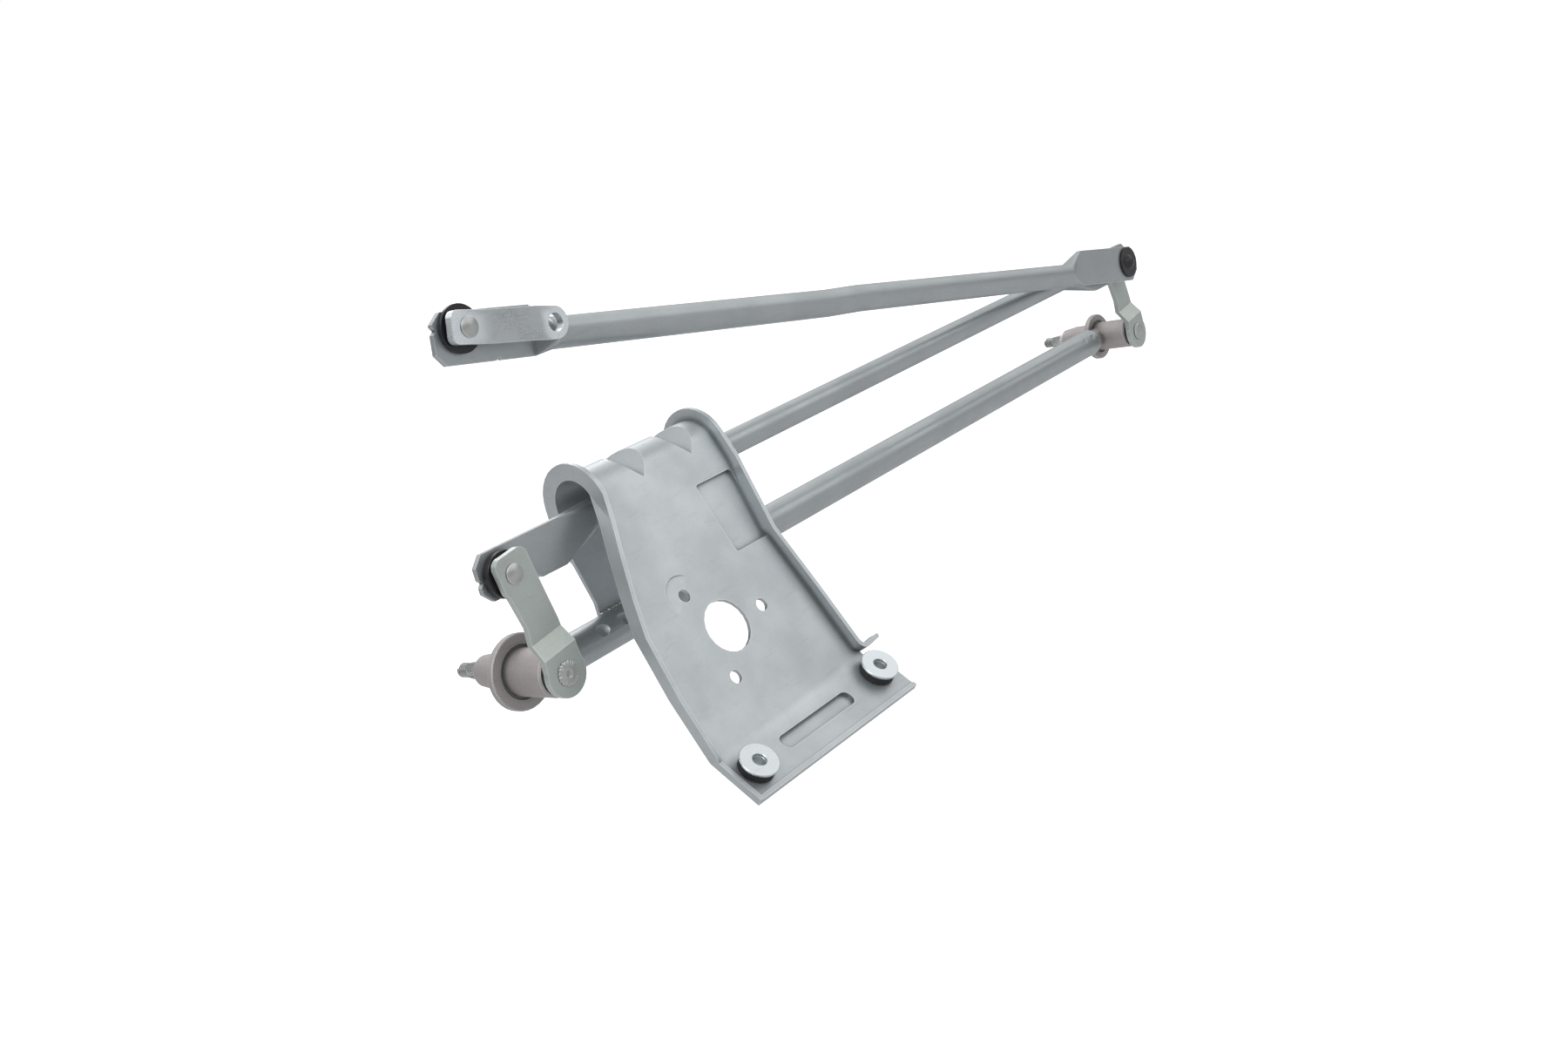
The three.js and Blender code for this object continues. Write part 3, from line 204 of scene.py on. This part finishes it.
class WiperFinishes(bpy.types.PropertyGroup):
    """Colours, wear with a painted edge highlight, and painted corner shade of each surface."""
    sheet: colour("Galvanised sheet", "The motor bracket", (0.53, 0.565, 0.58))
    tube: colour("Tube", "The frame tube and both rods", (0.41, 0.44, 0.45))
    lever: colour("Lever", "The two levers", (0.49, 0.535, 0.50))
    zinc: colour("Bright zinc", "The crank and the washers", (0.74, 0.79, 0.81))
    casting: colour("Casting", "The two pivot housings", (0.43, 0.395, 0.385))
    steel: colour("Steel", "Spindles and ball studs", (0.48, 0.49, 0.475))
    bronze: colour("Bronze", "The spindle bushes", (0.35, 0.22, 0.10))
    plastic: colour("Plastic", "Ball sockets and caps", (0.012, 0.012, 0.014))
    rubber: colour("Rubber", "Grommets and seals", (0.016, 0.016, 0.017))
    # Wear on the edges, brightened further as a painted highlight
    wear: share("Edge wear", "How bright the worn edges are", 0.75)
    # Painted shade: how dark the inner corners are painted
    grime: share("Grime", "How dark the inner corners are", 0.6)
    cloud: share("Clouding", "How strongly the zinc is mottled", 0.35)


class WiperStage(bpy.types.PropertyGroup):
    """Floor, camera and light."""
    floor_gap: length("Floor gap", "Height of the part above the floor", 0.11)
    lens: bpy.props.FloatProperty(
        name="Lens", description="Focal length on a 36 mm sensor", default=38.0, min=1.0,
        subtype="DISTANCE_CAMERA")
    light: bpy.props.FloatProperty(
        name="Light", description="Strength of the main lamp", default=9.5, min=0.0,
        subtype="POWER", unit="POWER")


# Shader building blocks

def new_group(name, inputs, outputs):
    """An empty node group with the named float, colour or vector sockets."""
    group = bpy.data.node_groups.new(name, "ShaderNodeTree")
    for socket, kind, default in inputs:
        made = group.interface.new_socket(name=socket, in_out="INPUT", socket_type=kind)
        if default is not None:
            made.default_value = default
    for socket, kind in outputs:
        group.interface.new_socket(name=socket, in_out="OUTPUT", socket_type=kind)
    return group, group.nodes.new("NodeGroupInput"), group.nodes.new("NodeGroupOutput")


def noise(tree, scale, detail=4.0, roughness=0.55, stretch=None):
    """A noise texture on Object coordinates, optionally stretched along the axes."""
    place = tree.nodes.new("ShaderNodeTexCoord")
    texture = tree.nodes.new("ShaderNodeTexNoise")
    texture.inputs["Scale"].default_value = scale
    texture.inputs["Detail"].default_value = detail
    texture.inputs["Roughness"].default_value = roughness
    source = place.outputs["Object"]
    if stretch:
        mapping = tree.nodes.new("ShaderNodeMapping")
        mapping.inputs["Scale"].default_value = stretch
        tree.links.new(source, mapping.inputs["Vector"])
        source = mapping.outputs["Vector"]
    tree.links.new(source, texture.inputs["Vector"])
    return texture.outputs["Fac"]


def spread(tree, source, low, high, to_low, to_high):
    """Maps a range of one value smoothly onto another."""
    node = tree.nodes.new("ShaderNodeMapRange")
    node.interpolation_type = "SMOOTHSTEP"
    for socket, value in (("From Min", low), ("From Max", high), ("To Min", to_low), ("To Max", to_high)):
        node.inputs[socket].default_value = value
    tree.links.new(source, node.inputs["Value"])
    return node.outputs["Result"]


def maths(tree, operation, first, second):
    """A Math node on two values or sockets, and its result."""
    node = tree.nodes.new("ShaderNodeMath")
    node.operation = operation
    for socket, value in zip(node.inputs, (first, second)):
        if isinstance(value, (int, float)):
            socket.default_value = value
        else:
            tree.links.new(value, socket)
    return node.outputs["Value"]


def blended(tree, factor, first, second, how="MIX"):
    """Two colours mixed by a factor; each may be a value or a socket."""
    node = tree.nodes.new("ShaderNodeMix")
    node.data_type = "RGBA"
    node.blend_type = how
    for socket, value in ((node.inputs[0], factor), (node.inputs[6], first), (node.inputs[7], second)):
        if isinstance(value, (int, float, tuple)):
            socket.default_value = value
        else:
            tree.links.new(value, socket)
    return node.outputs[2]


def edges(tree, radius):
    """A mask of the strip beside each sharp edge, where the rounded normal leaves the flat one."""
    rounded = tree.nodes.new("ShaderNodeBevel")
    rounded.samples = 4
    rounded.inputs["Radius"].default_value = radius
    geometry = tree.nodes.new("ShaderNodeNewGeometry")
    compare = tree.nodes.new("ShaderNodeVectorMath")
    compare.operation = "DOT_PRODUCT"
    tree.links.new(rounded.outputs["Normal"], compare.inputs[0])
    tree.links.new(geometry.outputs["Normal"], compare.inputs[1])
    return spread(tree, compare.outputs["Value"], 0.995, 0.88, 0.0, 1.0)


def corners(tree, reach):
    """A mask of the inner corners and pressed edges, where shade is painted."""
    closed = tree.nodes.new("ShaderNodeAmbientOcclusion")
    closed.samples = 8
    closed.only_local = True
    closed.inputs["Distance"].default_value = reach
    return spread(tree, closed.outputs["AO"], 0.55, 0.95, 1.0, 0.0)


def plated_group():
    """Zinc plate: clouding, fine speckle, handling marks, worn edges with a painted highlight, and
    painted shade in the inner corners.
    """
    group, ins, outs = new_group("Plated surface", [
        ("Color", "NodeSocketColor", (0.5, 0.5, 0.5, 1.0)),
        ("Cloud", "NodeSocketFloat", 0.4),
        ("Wear", "NodeSocketFloat", 0.4),
        ("Grime", "NodeSocketFloat", 0.4),
        ("Roughness", "NodeSocketFloat", 0.4),
    ], [("Color", "NodeSocketColor"), ("Roughness", "NodeSocketFloat"), ("Height", "NodeSocketFloat")])
    clouds = noise(group, scale=28.0, detail=5.0, roughness=0.6)
    clouds = spread(group, clouds, 0.3, 0.7, 0.0, 1.0)
    speckle = noise(group, scale=1500.0, detail=3.0, roughness=0.7)
    speckle = spread(group, speckle, 0.35, 0.65, 0.0, 1.0)
    marks = noise(group, scale=60.0, detail=6.0, roughness=0.75, stretch=(1.0, 6.0, 6.0))
    marks = spread(group, marks, 0.56, 0.64, 0.0, 1.0)
    base = ins.outputs["Color"]
    dark = blended(group, 1.0, base, CLOUD_TONE, "MULTIPLY")
    cloud = maths(group, "MULTIPLY", clouds, ins.outputs["Cloud"])
    toned = blended(group, cloud, base, dark)
    grain = maths(group, "MULTIPLY", speckle, 0.12)
    toned = blended(group, grain, toned, GRAIN_TONE)
    toned = blended(group, maths(group, "MULTIPLY", marks, 0.10), toned, MARK_TONE)
    # Worn edges mixed towards a bright tone, which also paints a highlight along them
    worn_and_highlit = maths(group, "MULTIPLY", edges(group, WORN_HIGHLIGHT_STRIP), ins.outputs["Wear"])
    toned = blended(group, worn_and_highlit, toned, WORN_HIGHLIGHT_TONE)
    # Painted shade: inner corners darkened by the occlusion mask
    grime = maths(group, "MULTIPLY", corners(group, CORNER_SHADE_REACH), ins.outputs["Grime"])
    toned = blended(group, grime, toned, CORNER_SHADE_TONE)
    group.links.new(toned, outs.inputs["Color"])
    rough = maths(group, "ADD", ins.outputs["Roughness"], maths(group, "MULTIPLY", clouds, 0.10))
    rough = maths(group, "ADD", rough, maths(group, "MULTIPLY", speckle, 0.05))
    group.links.new(rough, outs.inputs["Roughness"])
    height = maths(group, "MULTIPLY", maths(group, "ADD", speckle, clouds), 0.5)
    group.links.new(height, outs.inputs["Height"])
    return group


def moulded_group():
    """Black plastic or rubber: fine texture and a little dust."""
    group, ins, outs = new_group("Moulded surface", [
        ("Color", "NodeSocketColor", (0.02, 0.02, 0.02, 1.0)),
        ("Dust", "NodeSocketFloat", 0.2),
        ("Roughness", "NodeSocketFloat", 0.5),
    ], [("Color", "NodeSocketColor"), ("Roughness", "NodeSocketFloat"), ("Height", "NodeSocketFloat")])
    grain = noise(group, scale=1600.0, detail=2.0, roughness=0.5)
    dust = noise(group, scale=110.0, detail=6.0, roughness=0.7)
    dust = spread(group, dust, 0.5, 0.72, 0.0, 1.0)
    factor = maths(group, "MULTIPLY", dust, ins.outputs["Dust"])
    toned = blended(group, factor, ins.outputs["Color"], DUST_TONE)
    group.links.new(toned, outs.inputs["Color"])
    rough = maths(group, "ADD", ins.outputs["Roughness"], maths(group, "MULTIPLY", dust, 0.15))
    group.links.new(rough, outs.inputs["Roughness"])
    group.links.new(grain, outs.inputs["Height"])
    return group


def surface(name, group, values, metallic, bump, distance):
    """A Principled material fed by one of the groups, with its values set on the group."""
    material = bpy.data.materials.new(name)
    material.use_nodes = True
    tree = material.node_tree
    shader = tree.nodes["Principled BSDF"]
    shader.inputs["Metallic"].default_value = metallic
    maker = tree.nodes.new("ShaderNodeGroup")
    maker.node_tree = group
    for socket, value in values.items():
        maker.inputs[socket].default_value = (*value, 1.0) if socket == "Color" else value
    relief = tree.nodes.new("ShaderNodeBump")
    relief.inputs["Strength"].default_value = bump
    relief.inputs["Distance"].default_value = distance
    tree.links.new(maker.outputs["Height"], relief.inputs["Height"])
    tree.links.new(relief.outputs["Normal"], shader.inputs["Normal"])
    tree.links.new(maker.outputs["Color"], shader.inputs["Base Color"])
    tree.links.new(maker.outputs["Roughness"], shader.inputs["Roughness"])
    return material


# Slot, material name, clouding, roughness, metallic, bump
PLATED = {
    "sheet": ("galvanised_sheet", "Galvanised sheet", 1.0, 0.36, 0.80, 0.10),
    "tube": ("tube_zinc", "Grey zinc tube", 0.7, 0.33, 0.85, 0.08),
    "lever": ("lever_zinc", "Grey-green zinc plate", 1.0, 0.36, 0.80, 0.10),
    "zinc": ("bright_zinc", "Bright zinc plate", 0.5, 0.22, 0.90, 0.06),
    "casting": ("die_cast_zinc", "Die casting", 1.2, 0.48, 0.65, 0.35),
    "steel": ("spindle_steel", "Machined steel", 0.6, 0.30, 0.90, 0.06),
    "bronze": ("bush_bronze", "Sintered bronze", 0.8, 0.50, 0.80, 0.25),
}
# Slot, material name, dust, roughness
MOULDED = {
    "plastic": ("black_plastic", "Moulded black plastic", 0.05, 0.36),
    "rubber": ("black_rubber", "Black rubber", 0.18, 0.62),
}


def finish(kind):
    """The material of one kind, made on its first use."""
    table = PLATED if kind in PLATED else MOULDED
    name = table[kind][1]
    if name in bpy.data.materials:
        return bpy.data.materials[name]
    look = bpy.context.scene.wiper_finishes
    tone = tuple(getattr(look, kind))
    if kind in PLATED:
        group = bpy.data.node_groups.get("Plated surface") or plated_group()
        _, _, cloud, rough, metallic, bump = PLATED[kind]
        # The edge mix is wear with a painted highlight
        values = {"Color": tone, "Cloud": look.cloud * cloud, "Wear": look.wear,
                  # The corner mix paints shade into the inner corners
                  "Grime": look.grime, "Roughness": rough}
        return surface(name, group, values, metallic, bump, 0.0004)
    group = bpy.data.node_groups.get("Moulded surface") or moulded_group()
    _, _, dust, rough = MOULDED[kind]
    return surface(name, group, {"Color": tone, "Dust": dust, "Roughness": rough}, 0.0, 0.12, 0.0003)


# Mesh building blocks

def add_object(name, shape, kind, body):
    """Turns a bmesh into a piece of the object, smooth across its gentle edges."""
    for face in shape.faces:
        face.smooth = True
    for edge in shape.edges:
        edge.smooth = len(edge.link_faces) == 2 and edge.calc_face_angle(0.0) < SMOOTH_ANGLE
    mesh = bpy.data.meshes.new(name)
    shape.to_mesh(mesh)
    shape.free()
    piece = bpy.data.objects.new(name, mesh)
    bpy.context.scene.collection.objects.link(piece)
    mesh.materials.append(finish(kind))
    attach(piece, body)
    return piece


def merged(node):
    """A CAD node's mesh with its doubles merged and its flat faces made whole."""
    shape = bmesh.new()
    shape.from_mesh(FRAME["nodes"][node].data)
    bmesh.ops.remove_doubles(shape, verts=shape.verts, dist=SAME_POINT)
    bmesh.ops.dissolve_degenerate(shape, edges=shape.edges, dist=SAME_POINT)
    bmesh.ops.dissolve_limit(
        shape, angle_limit=FLAT_ANGLE, verts=shape.verts, edges=shape.edges,
        use_dissolve_boundaries=False, delimit=set())
    return shape


def soften(piece, width, segments=2):
    """Rounds the sharp edges of a piece and keeps its flat faces flat."""
    bevel = piece.modifiers.new("Rounded edges", "BEVEL")
    bevel.width = width
    bevel.segments = segments
    bevel.limit_method = "ANGLE"
    bevel.angle_limit = ROUNDED_ANGLE
    bevel.miter_outer = "MITER_ARC"
    even = piece.modifiers.new("Even normals", "WEIGHTED_NORMAL")
    even.keep_sharp = True
    even.weight = 100
    return piece


def finished(node, kind, width, segments=2):
    """A merged, softened copy of a CAD node, shown in its place."""
    body = body_of(FRAME["nodes"][node])[0]
    piece = add_object(f"{node}_finished", merged(node), kind, body)
    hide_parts(node)
    return soften(piece, width, segments)


# Shapes drawn in millimetres about the Y axis, then placed

def lathe(profile, steps, at):
    """A closed solid turned about the Y axis from [radius, y] points that start and end on it."""
    shape = bmesh.new()
    points = [shape.verts.new((r * MM, y * MM, 0.0)) for r, y in profile]
    edges = [shape.edges.new(pair) for pair in zip(points, points[1:])]
    bmesh.ops.spin(
        shape, geom=points + edges, cent=(0, 0, 0), axis=(0, 1, 0), angle=math.tau, steps=steps,
        use_merge=True)
    bmesh.ops.remove_doubles(shape, verts=shape.verts, dist=1e-6)
    bmesh.ops.recalc_face_normals(shape, faces=shape.faces)
    bmesh.ops.translate(shape, verts=shape.verts, vec=Vector(at) * MM)
    return shape


def serrate(shape, teeth, low, high, axis_at, least, depth):
    """Pushes every other row of vertices between two heights inwards, which makes teeth."""
    for vert in shape.verts:
        offset = vert.co - Vector(axis_at) * MM
        radius = math.hypot(offset.x, offset.z)
        if not (low * MM <= offset.y <= high * MM) or radius < least * MM:
            continue
        turn = math.atan2(offset.z, offset.x) / math.tau * teeth
        if round(turn * 2) % 2:
            vert.co.x -= offset.x / radius * depth * MM
            vert.co.z -= offset.z / radius * depth * MM


def thread(radius, depth, pitch, low, high, at):
    """A helical ridge with closed ends, in millimetres, about an axis along Y."""
    shape = bmesh.new()
    section = [(radius - depth, -pitch * 0.42), (radius, -pitch * 0.08), (radius, pitch * 0.08),
               (radius - depth, pitch * 0.42)]
    verts = [shape.verts.new((r * MM, (y + low) * MM, 0.0)) for r, y in section]
    first = shape.faces.new(verts)
    turns = (high - low) / pitch
    steps = int(THREAD_STEPS * turns)
    bmesh.ops.spin(
        shape, geom=[first], cent=(0, 0, 0), axis=(0, 1, 0), angle=math.tau * turns,
        steps=steps, dvec=(0, (high - low) / steps * MM, 0), use_duplicate=False)
    bmesh.ops.recalc_face_normals(shape, faces=shape.faces)
    bmesh.ops.translate(shape, verts=shape.verts, vec=Vector(at) * MM)
    return shape


def joined(*shapes):
    """One bmesh with everything that the given ones hold."""
    whole = bmesh.new()
    for shape in shapes:
        part = bpy.data.meshes.new("part")
        shape.to_mesh(part)
        shape.free()
        whole.from_mesh(part)
        bpy.data.meshes.remove(part)
    return whole


def beads(places, radius, stretch):
    """A run of overlapping flattened drops, as a weld leaves them."""
    shape = bmesh.new()
    for place, size in places:
        matrix = Matrix.Translation(Vector(place) * MM) @ Matrix.Diagonal((*stretch, 1.0))
        bmesh.ops.create_icosphere(shape, subdivisions=2, radius=radius * size * MM, matrix=matrix)
    return shape


# Operators, one for each piece or group of like pieces

class WIPER_OT_frame_tube(bpy.types.Operator):
    """Grey zinc-plated frame tube"""
    bl_idname = "wiper.frame_tube"
    bl_label = "Frame Tube"

    def execute(self, context):
        finished("frame_tube", "tube", context.scene.wiper_sizes.sheet_edge * 0.6)
        return {"FINISHED"}


class WIPER_OT_bracket(bpy.types.Operator):
    """Pressed motor bracket with rounded edges"""
    bl_idname = "wiper.bracket"
    bl_label = "Motor Bracket"

    def execute(self, context):
        finished("motor_bracket", "sheet", context.scene.wiper_sizes.sheet_edge)
        return {"FINISHED"}


class WIPER_OT_welds(bpy.types.Operator):
    """Weld beads where the bracket's back leg meets the tube"""
    bl_idname = "wiper.welds"
    bl_label = "Welds"

    def execute(self, context):
        size = context.scene.wiper_sizes.weld_size / MM
        low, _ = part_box("frame_tube")
        for index, (start, end, turn) in enumerate(WELD_RUNS, 1):
            count = int((end - start) / WELD_STEP)
            angle = math.radians(turn)
            y = low.y / MM + TUBE_RADIUS * (1.0 + math.cos(angle))
            z = low.z / MM + TUBE_RADIUS * (1.0 + math.sin(angle))
            places = [
                ((start + (end - start) * i / (count - 1), y, z),
                 1.0 + WELD_SWELL * math.sin(i * WELD_RIPPLE))
                for i in range(count)
            ]
            drops = beads(places, size, WELD_STRETCH)
            weld = add_object(f"leg_weld_{index}", drops, "steel", "frame")
            smooth = weld.modifiers.new("Smoothed", "SUBSURF")
            smooth.levels = 1
            smooth.render_levels = 1
        return {"FINISHED"}


class WIPER_OT_housings(bpy.types.Operator):
    """Die-cast pivot housings"""
    bl_idname = "wiper.housings"
    bl_label = "Pivot Housings"

    def execute(self, context):
        for label in ("near", "far"):
            finished(f"{label}_pivot_housing", "casting", context.scene.wiper_sizes.cast_edge)
        return {"FINISHED"}


class WIPER_OT_small_rings(bpy.types.Operator):
    """Bushes, thrust washers, seals and circlips of the two pivots"""
    bl_idname = "wiper.small_rings"
    bl_label = "Small Rings"

    def execute(self, context):
        edge = context.scene.wiper_sizes.trim_edge * 0.5
        for label in ("near", "far"):
            finished(f"{label}_lever_side_bush", "bronze", edge)
            finished(f"{label}_nose_side_bush", "bronze", edge)
            finished(f"{label}_thrust_washer", "steel", edge)
            finished(f"{label}_seal_ring", "rubber", edge)
            finished(f"{label}_circlip", "steel", edge)
        return {"FINISHED"}


class WIPER_OT_spindles(bpy.types.Operator):
    """Spindles with a serrated riveted head, a knurled cone and a thread"""
    bl_idname = "wiper.spindles"
    bl_label = "Spindles"

    def execute(self, context):
        sizes = context.scene.wiper_sizes
        pitch = sizes.thread_pitch / MM
        depth = sizes.thread_depth / MM
        teeth = sizes.knurl_teeth
        for label in ("near", "far"):
            low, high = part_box(f"{label}_spindle")
            foot = ((low.x + high.x) / 2 / MM, low.y / MM, (low.z + high.z) / 2 / MM)
            whole = (high.y - low.y) / MM
            core = THREAD_RADIUS - depth
            profile = [
                *RIVET_HEAD,
                (SHAFT_RADIUS, whole - SHAFT_END), (SHAFT_RADIUS, whole - CONE_START),
                (CONE_TIP_RADIUS, whole - CONE_END), (core, whole - RELIEF_START),
                (core, whole - TIP_CHAMFER), (core - TIP_CHAMFER, whole), (0.0, whole),
            ]
            knurl = (whole - CONE_START - KNURL_MARGIN, whole - CONE_END + KNURL_MARGIN)
            body = lathe(profile, teeth * 2, foot)
            serrate(body, teeth, *knurl, foot, KNURL_FROM, KNURL_DEPTH)
            serrate(body, sizes.head_teeth, *HEAD_TEETH_RUN, foot, HEAD_TEETH_FROM, HEAD_TEETH_DEPTH)
            ridge = thread(THREAD_RADIUS, depth, pitch, whole - THREAD_START, whole - THREAD_END, foot)
            solid = joined(body, ridge)
            piece = add_object(f"{label}_spindle_turned", solid, "steel", f"{label}_lever_shaft")
            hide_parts(f"{label}_spindle")
        return {"FINISHED"}


class WIPER_OT_levers(bpy.types.Operator):
    """Joggled lever plates"""
    bl_idname = "wiper.levers"
    bl_label = "Levers"

    def execute(self, context):
        for label in ("near", "far"):
            finished(f"{label}_lever", "lever", context.scene.wiper_sizes.plate_edge, segments=3)
        return {"FINISHED"}


class WIPER_OT_rods(bpy.types.Operator):
    """Link rod and drive rod, tubes with flattened ends"""
    bl_idname = "wiper.rods"
    bl_label = "Rods"

    def execute(self, context):
        for node in ("link_rod", "drive_rod"):
            finished(node, "tube", context.scene.wiper_sizes.plate_edge)
        return {"FINISHED"}


class WIPER_OT_ball_joints(bpy.types.Operator):
    """Steel ball studs and their black plastic sockets"""
    bl_idname = "wiper.ball_joints"
    bl_label = "Ball Joints"

    def execute(self, context):
        edge = context.scene.wiper_sizes.trim_edge
        for node in ("near_ball_stud", "far_ball_stud", "crank_ball_stud"):
            finished(node, "steel", edge * 0.5)
        for node in ("link_rod_near_socket", "link_rod_far_liner", "drive_rod_far_socket",
                     "drive_rod_crank_socket"):
            finished(node, "plastic", edge)
        return {"FINISHED"}


class WIPER_OT_crank(bpy.types.Operator):
    """Bright zinc motor crank"""
    bl_idname = "wiper.crank"
    bl_label = "Motor Crank"

    def execute(self, context):
        finished("motor_crank", "zinc", context.scene.wiper_sizes.plate_edge, segments=3)
        return {"FINISHED"}


class WIPER_OT_foot_mounts(bpy.types.Operator):
    """Rubber grommets with sleeves and washers on the bracket's foot"""
    bl_idname = "wiper.foot_mounts"
    bl_label = "Foot Mounts"

    def execute(self, context):
        edge = context.scene.wiper_sizes.trim_edge
        for side in ("left", "right"):
            finished(f"foot_grommet_{side}", "rubber", edge * 1.5)
            finished(f"grommet_sleeve_{side}", "zinc", edge * 0.5)
            finished(f"grommet_washer_{side}", "zinc", edge)
        return {"FINISHED"}


class WIPER_OT_stage(bpy.types.Operator):
    """Pale floor, soft lamps and the camera"""
    bl_idname = "wiper.stage"
    bl_label = "Stage"

    def execute(self, context):
        settings = context.scene.wiper_stage
        self.add_floor(CAD_BOX[0][2] - settings.floor_gap)
        self.add_lamps(settings.light)
        self.add_camera(settings.lens)
        return {"FINISHED"}

    def add_floor(self, height):
        shape = bmesh.new()
        bmesh.ops.create_circle(
            shape, cap_ends=True, segments=96, radius=FLOOR_RADIUS,
            matrix=Matrix.Translation((*FLOOR_CENTRE, height)))
        mesh = bpy.data.meshes.new("floor")
        shape.to_mesh(mesh)
        shape.free()
        floor = bpy.data.objects.new("floor", mesh)
        bpy.context.scene.collection.objects.link(floor)
        mesh.materials.append(self.floor_material())

    def floor_material(self):
        """Matt and pale, and lit up only where it is seen directly."""
        material = bpy.data.materials.new("Pale floor")
        material.use_nodes = True
        tree = material.node_tree
        shader = tree.nodes["Principled BSDF"]
        shader.inputs["Base Color"].default_value = FLOOR_TONE
        shader.inputs["Roughness"].default_value = 0.9
        shader.inputs["Specular IOR Level"].default_value = 0.1
        shader.inputs["Emission Color"].default_value = WHITE
        seen = tree.nodes.new("ShaderNodeLightPath")
        shown = maths(tree, "MULTIPLY", seen.outputs["Is Camera Ray"], FLOOR_GLOW)
        tree.links.new(shown, shader.inputs["Emission Strength"])
        return material

    def add_lamps(self, strength):
        for name, place, size, portion in LAMPS:
            lamp = bpy.data.lights.new(name, "AREA")
            lamp.size = size
            lamp.energy = strength * portion
            holder = bpy.data.objects.new(name, lamp)
            aim = Vector(LAMP_TARGET) - Vector(place)
            turn = aim.to_track_quat("-Z", "Y").to_matrix().to_4x4()
            holder.matrix_world = Matrix.Translation(place) @ turn
            bpy.context.scene.collection.objects.link(holder)
        bpy.context.scene.world = self.studio()
        bpy.context.scene.view_settings.view_transform = "Standard"

    def studio(self):
        """White behind the part, and a room of darker and lighter bands for it to reflect."""
        world = bpy.data.worlds.new("Studio")
        world.use_nodes = True
        tree = world.node_tree
        place = tree.nodes.new("ShaderNodeTexCoord")
        axes = tree.nodes.new("ShaderNodeSeparateXYZ")
        tree.links.new(place.outputs["Generated"], axes.inputs["Vector"])
        ramp = tree.nodes.new("ShaderNodeValToRGB")
        stops = ramp.color_ramp.elements
        stops[0].position, stops[0].color = 0.0, ROOM_BOTTOM
        stops[1].position, stops[1].color = 1.0, ROOM_TOP
        for position, tone in ROOM_BANDS:
            stops.new(position).color = (tone, tone, tone, 1.0)
        height = maths(tree, "MULTIPLY_ADD", axes.outputs["Z"], 0.5)
        height.node.inputs[2].default_value = 0.5
        tree.links.new(height, ramp.inputs["Fac"])
        seen = tree.nodes.new("ShaderNodeLightPath")
        shown = blended(tree, seen.outputs["Is Camera Ray"], ramp.outputs["Color"], WHITE)
        tree.links.new(shown, tree.nodes["Background"].inputs["Color"])
        return world

    def add_camera(self, lens):
        data = bpy.data.cameras.new("Camera")
        data.lens = lens
        data.sensor_width = 36.0
        data.clip_end = 100.0
        camera = bpy.data.objects.new("Camera", data)
        turn = Euler([math.radians(angle) for angle in CAMERA_TURN]).to_matrix().to_4x4()
        camera.matrix_world = Matrix.Translation(CAMERA_PLACE) @ turn
        bpy.context.scene.collection.objects.link(camera)
        bpy.context.scene.camera = camera


PIECES = (
    WIPER_OT_stage, WIPER_OT_frame_tube, WIPER_OT_bracket, WIPER_OT_welds, WIPER_OT_housings,
    WIPER_OT_small_rings, WIPER_OT_spindles, WIPER_OT_levers, WIPER_OT_rods, WIPER_OT_ball_joints,
    WIPER_OT_crank, WIPER_OT_foot_mounts,
)


class WIPER_PT_panel(bpy.types.Panel):
    """Lists the pieces, sizes and finishes"""
    bl_idname = "WIPER_PT_panel"
    bl_label = "Wiper Linkage"
    bl_space_type = "VIEW_3D"
    bl_region_type = "UI"
    bl_category = "Wiper Linkage"

    def draw(self, context):
        for group in ("wiper_sizes", "wiper_finishes", "wiper_stage"):
            settings = getattr(context.scene, group)
            for name in settings.__annotations__:
                self.layout.prop(settings, name)
        for piece in PIECES:
            self.layout.operator(piece.bl_idname)


CLASSES = (WiperSizes, WiperFinishes, WiperStage, *PIECES, WIPER_PT_panel)


def register():
    for cls in CLASSES:
        bpy.utils.register_class(cls)
    bpy.types.Scene.wiper_sizes = bpy.props.PointerProperty(type=WiperSizes)
    bpy.types.Scene.wiper_finishes = bpy.props.PointerProperty(type=WiperFinishes)
    bpy.types.Scene.wiper_stage = bpy.props.PointerProperty(type=WiperStage)


def unregister():
    del bpy.types.Scene.wiper_stage
    del bpy.types.Scene.wiper_finishes
    del bpy.types.Scene.wiper_sizes
    for cls in reversed(CLASSES):
        bpy.utils.unregister_class(cls)


def main():
    register()
    for piece in PIECES:
        group, _, name = piece.bl_idname.partition(".")
        getattr(getattr(bpy.ops, group), name)()


if __name__ == "__main__":
    main()
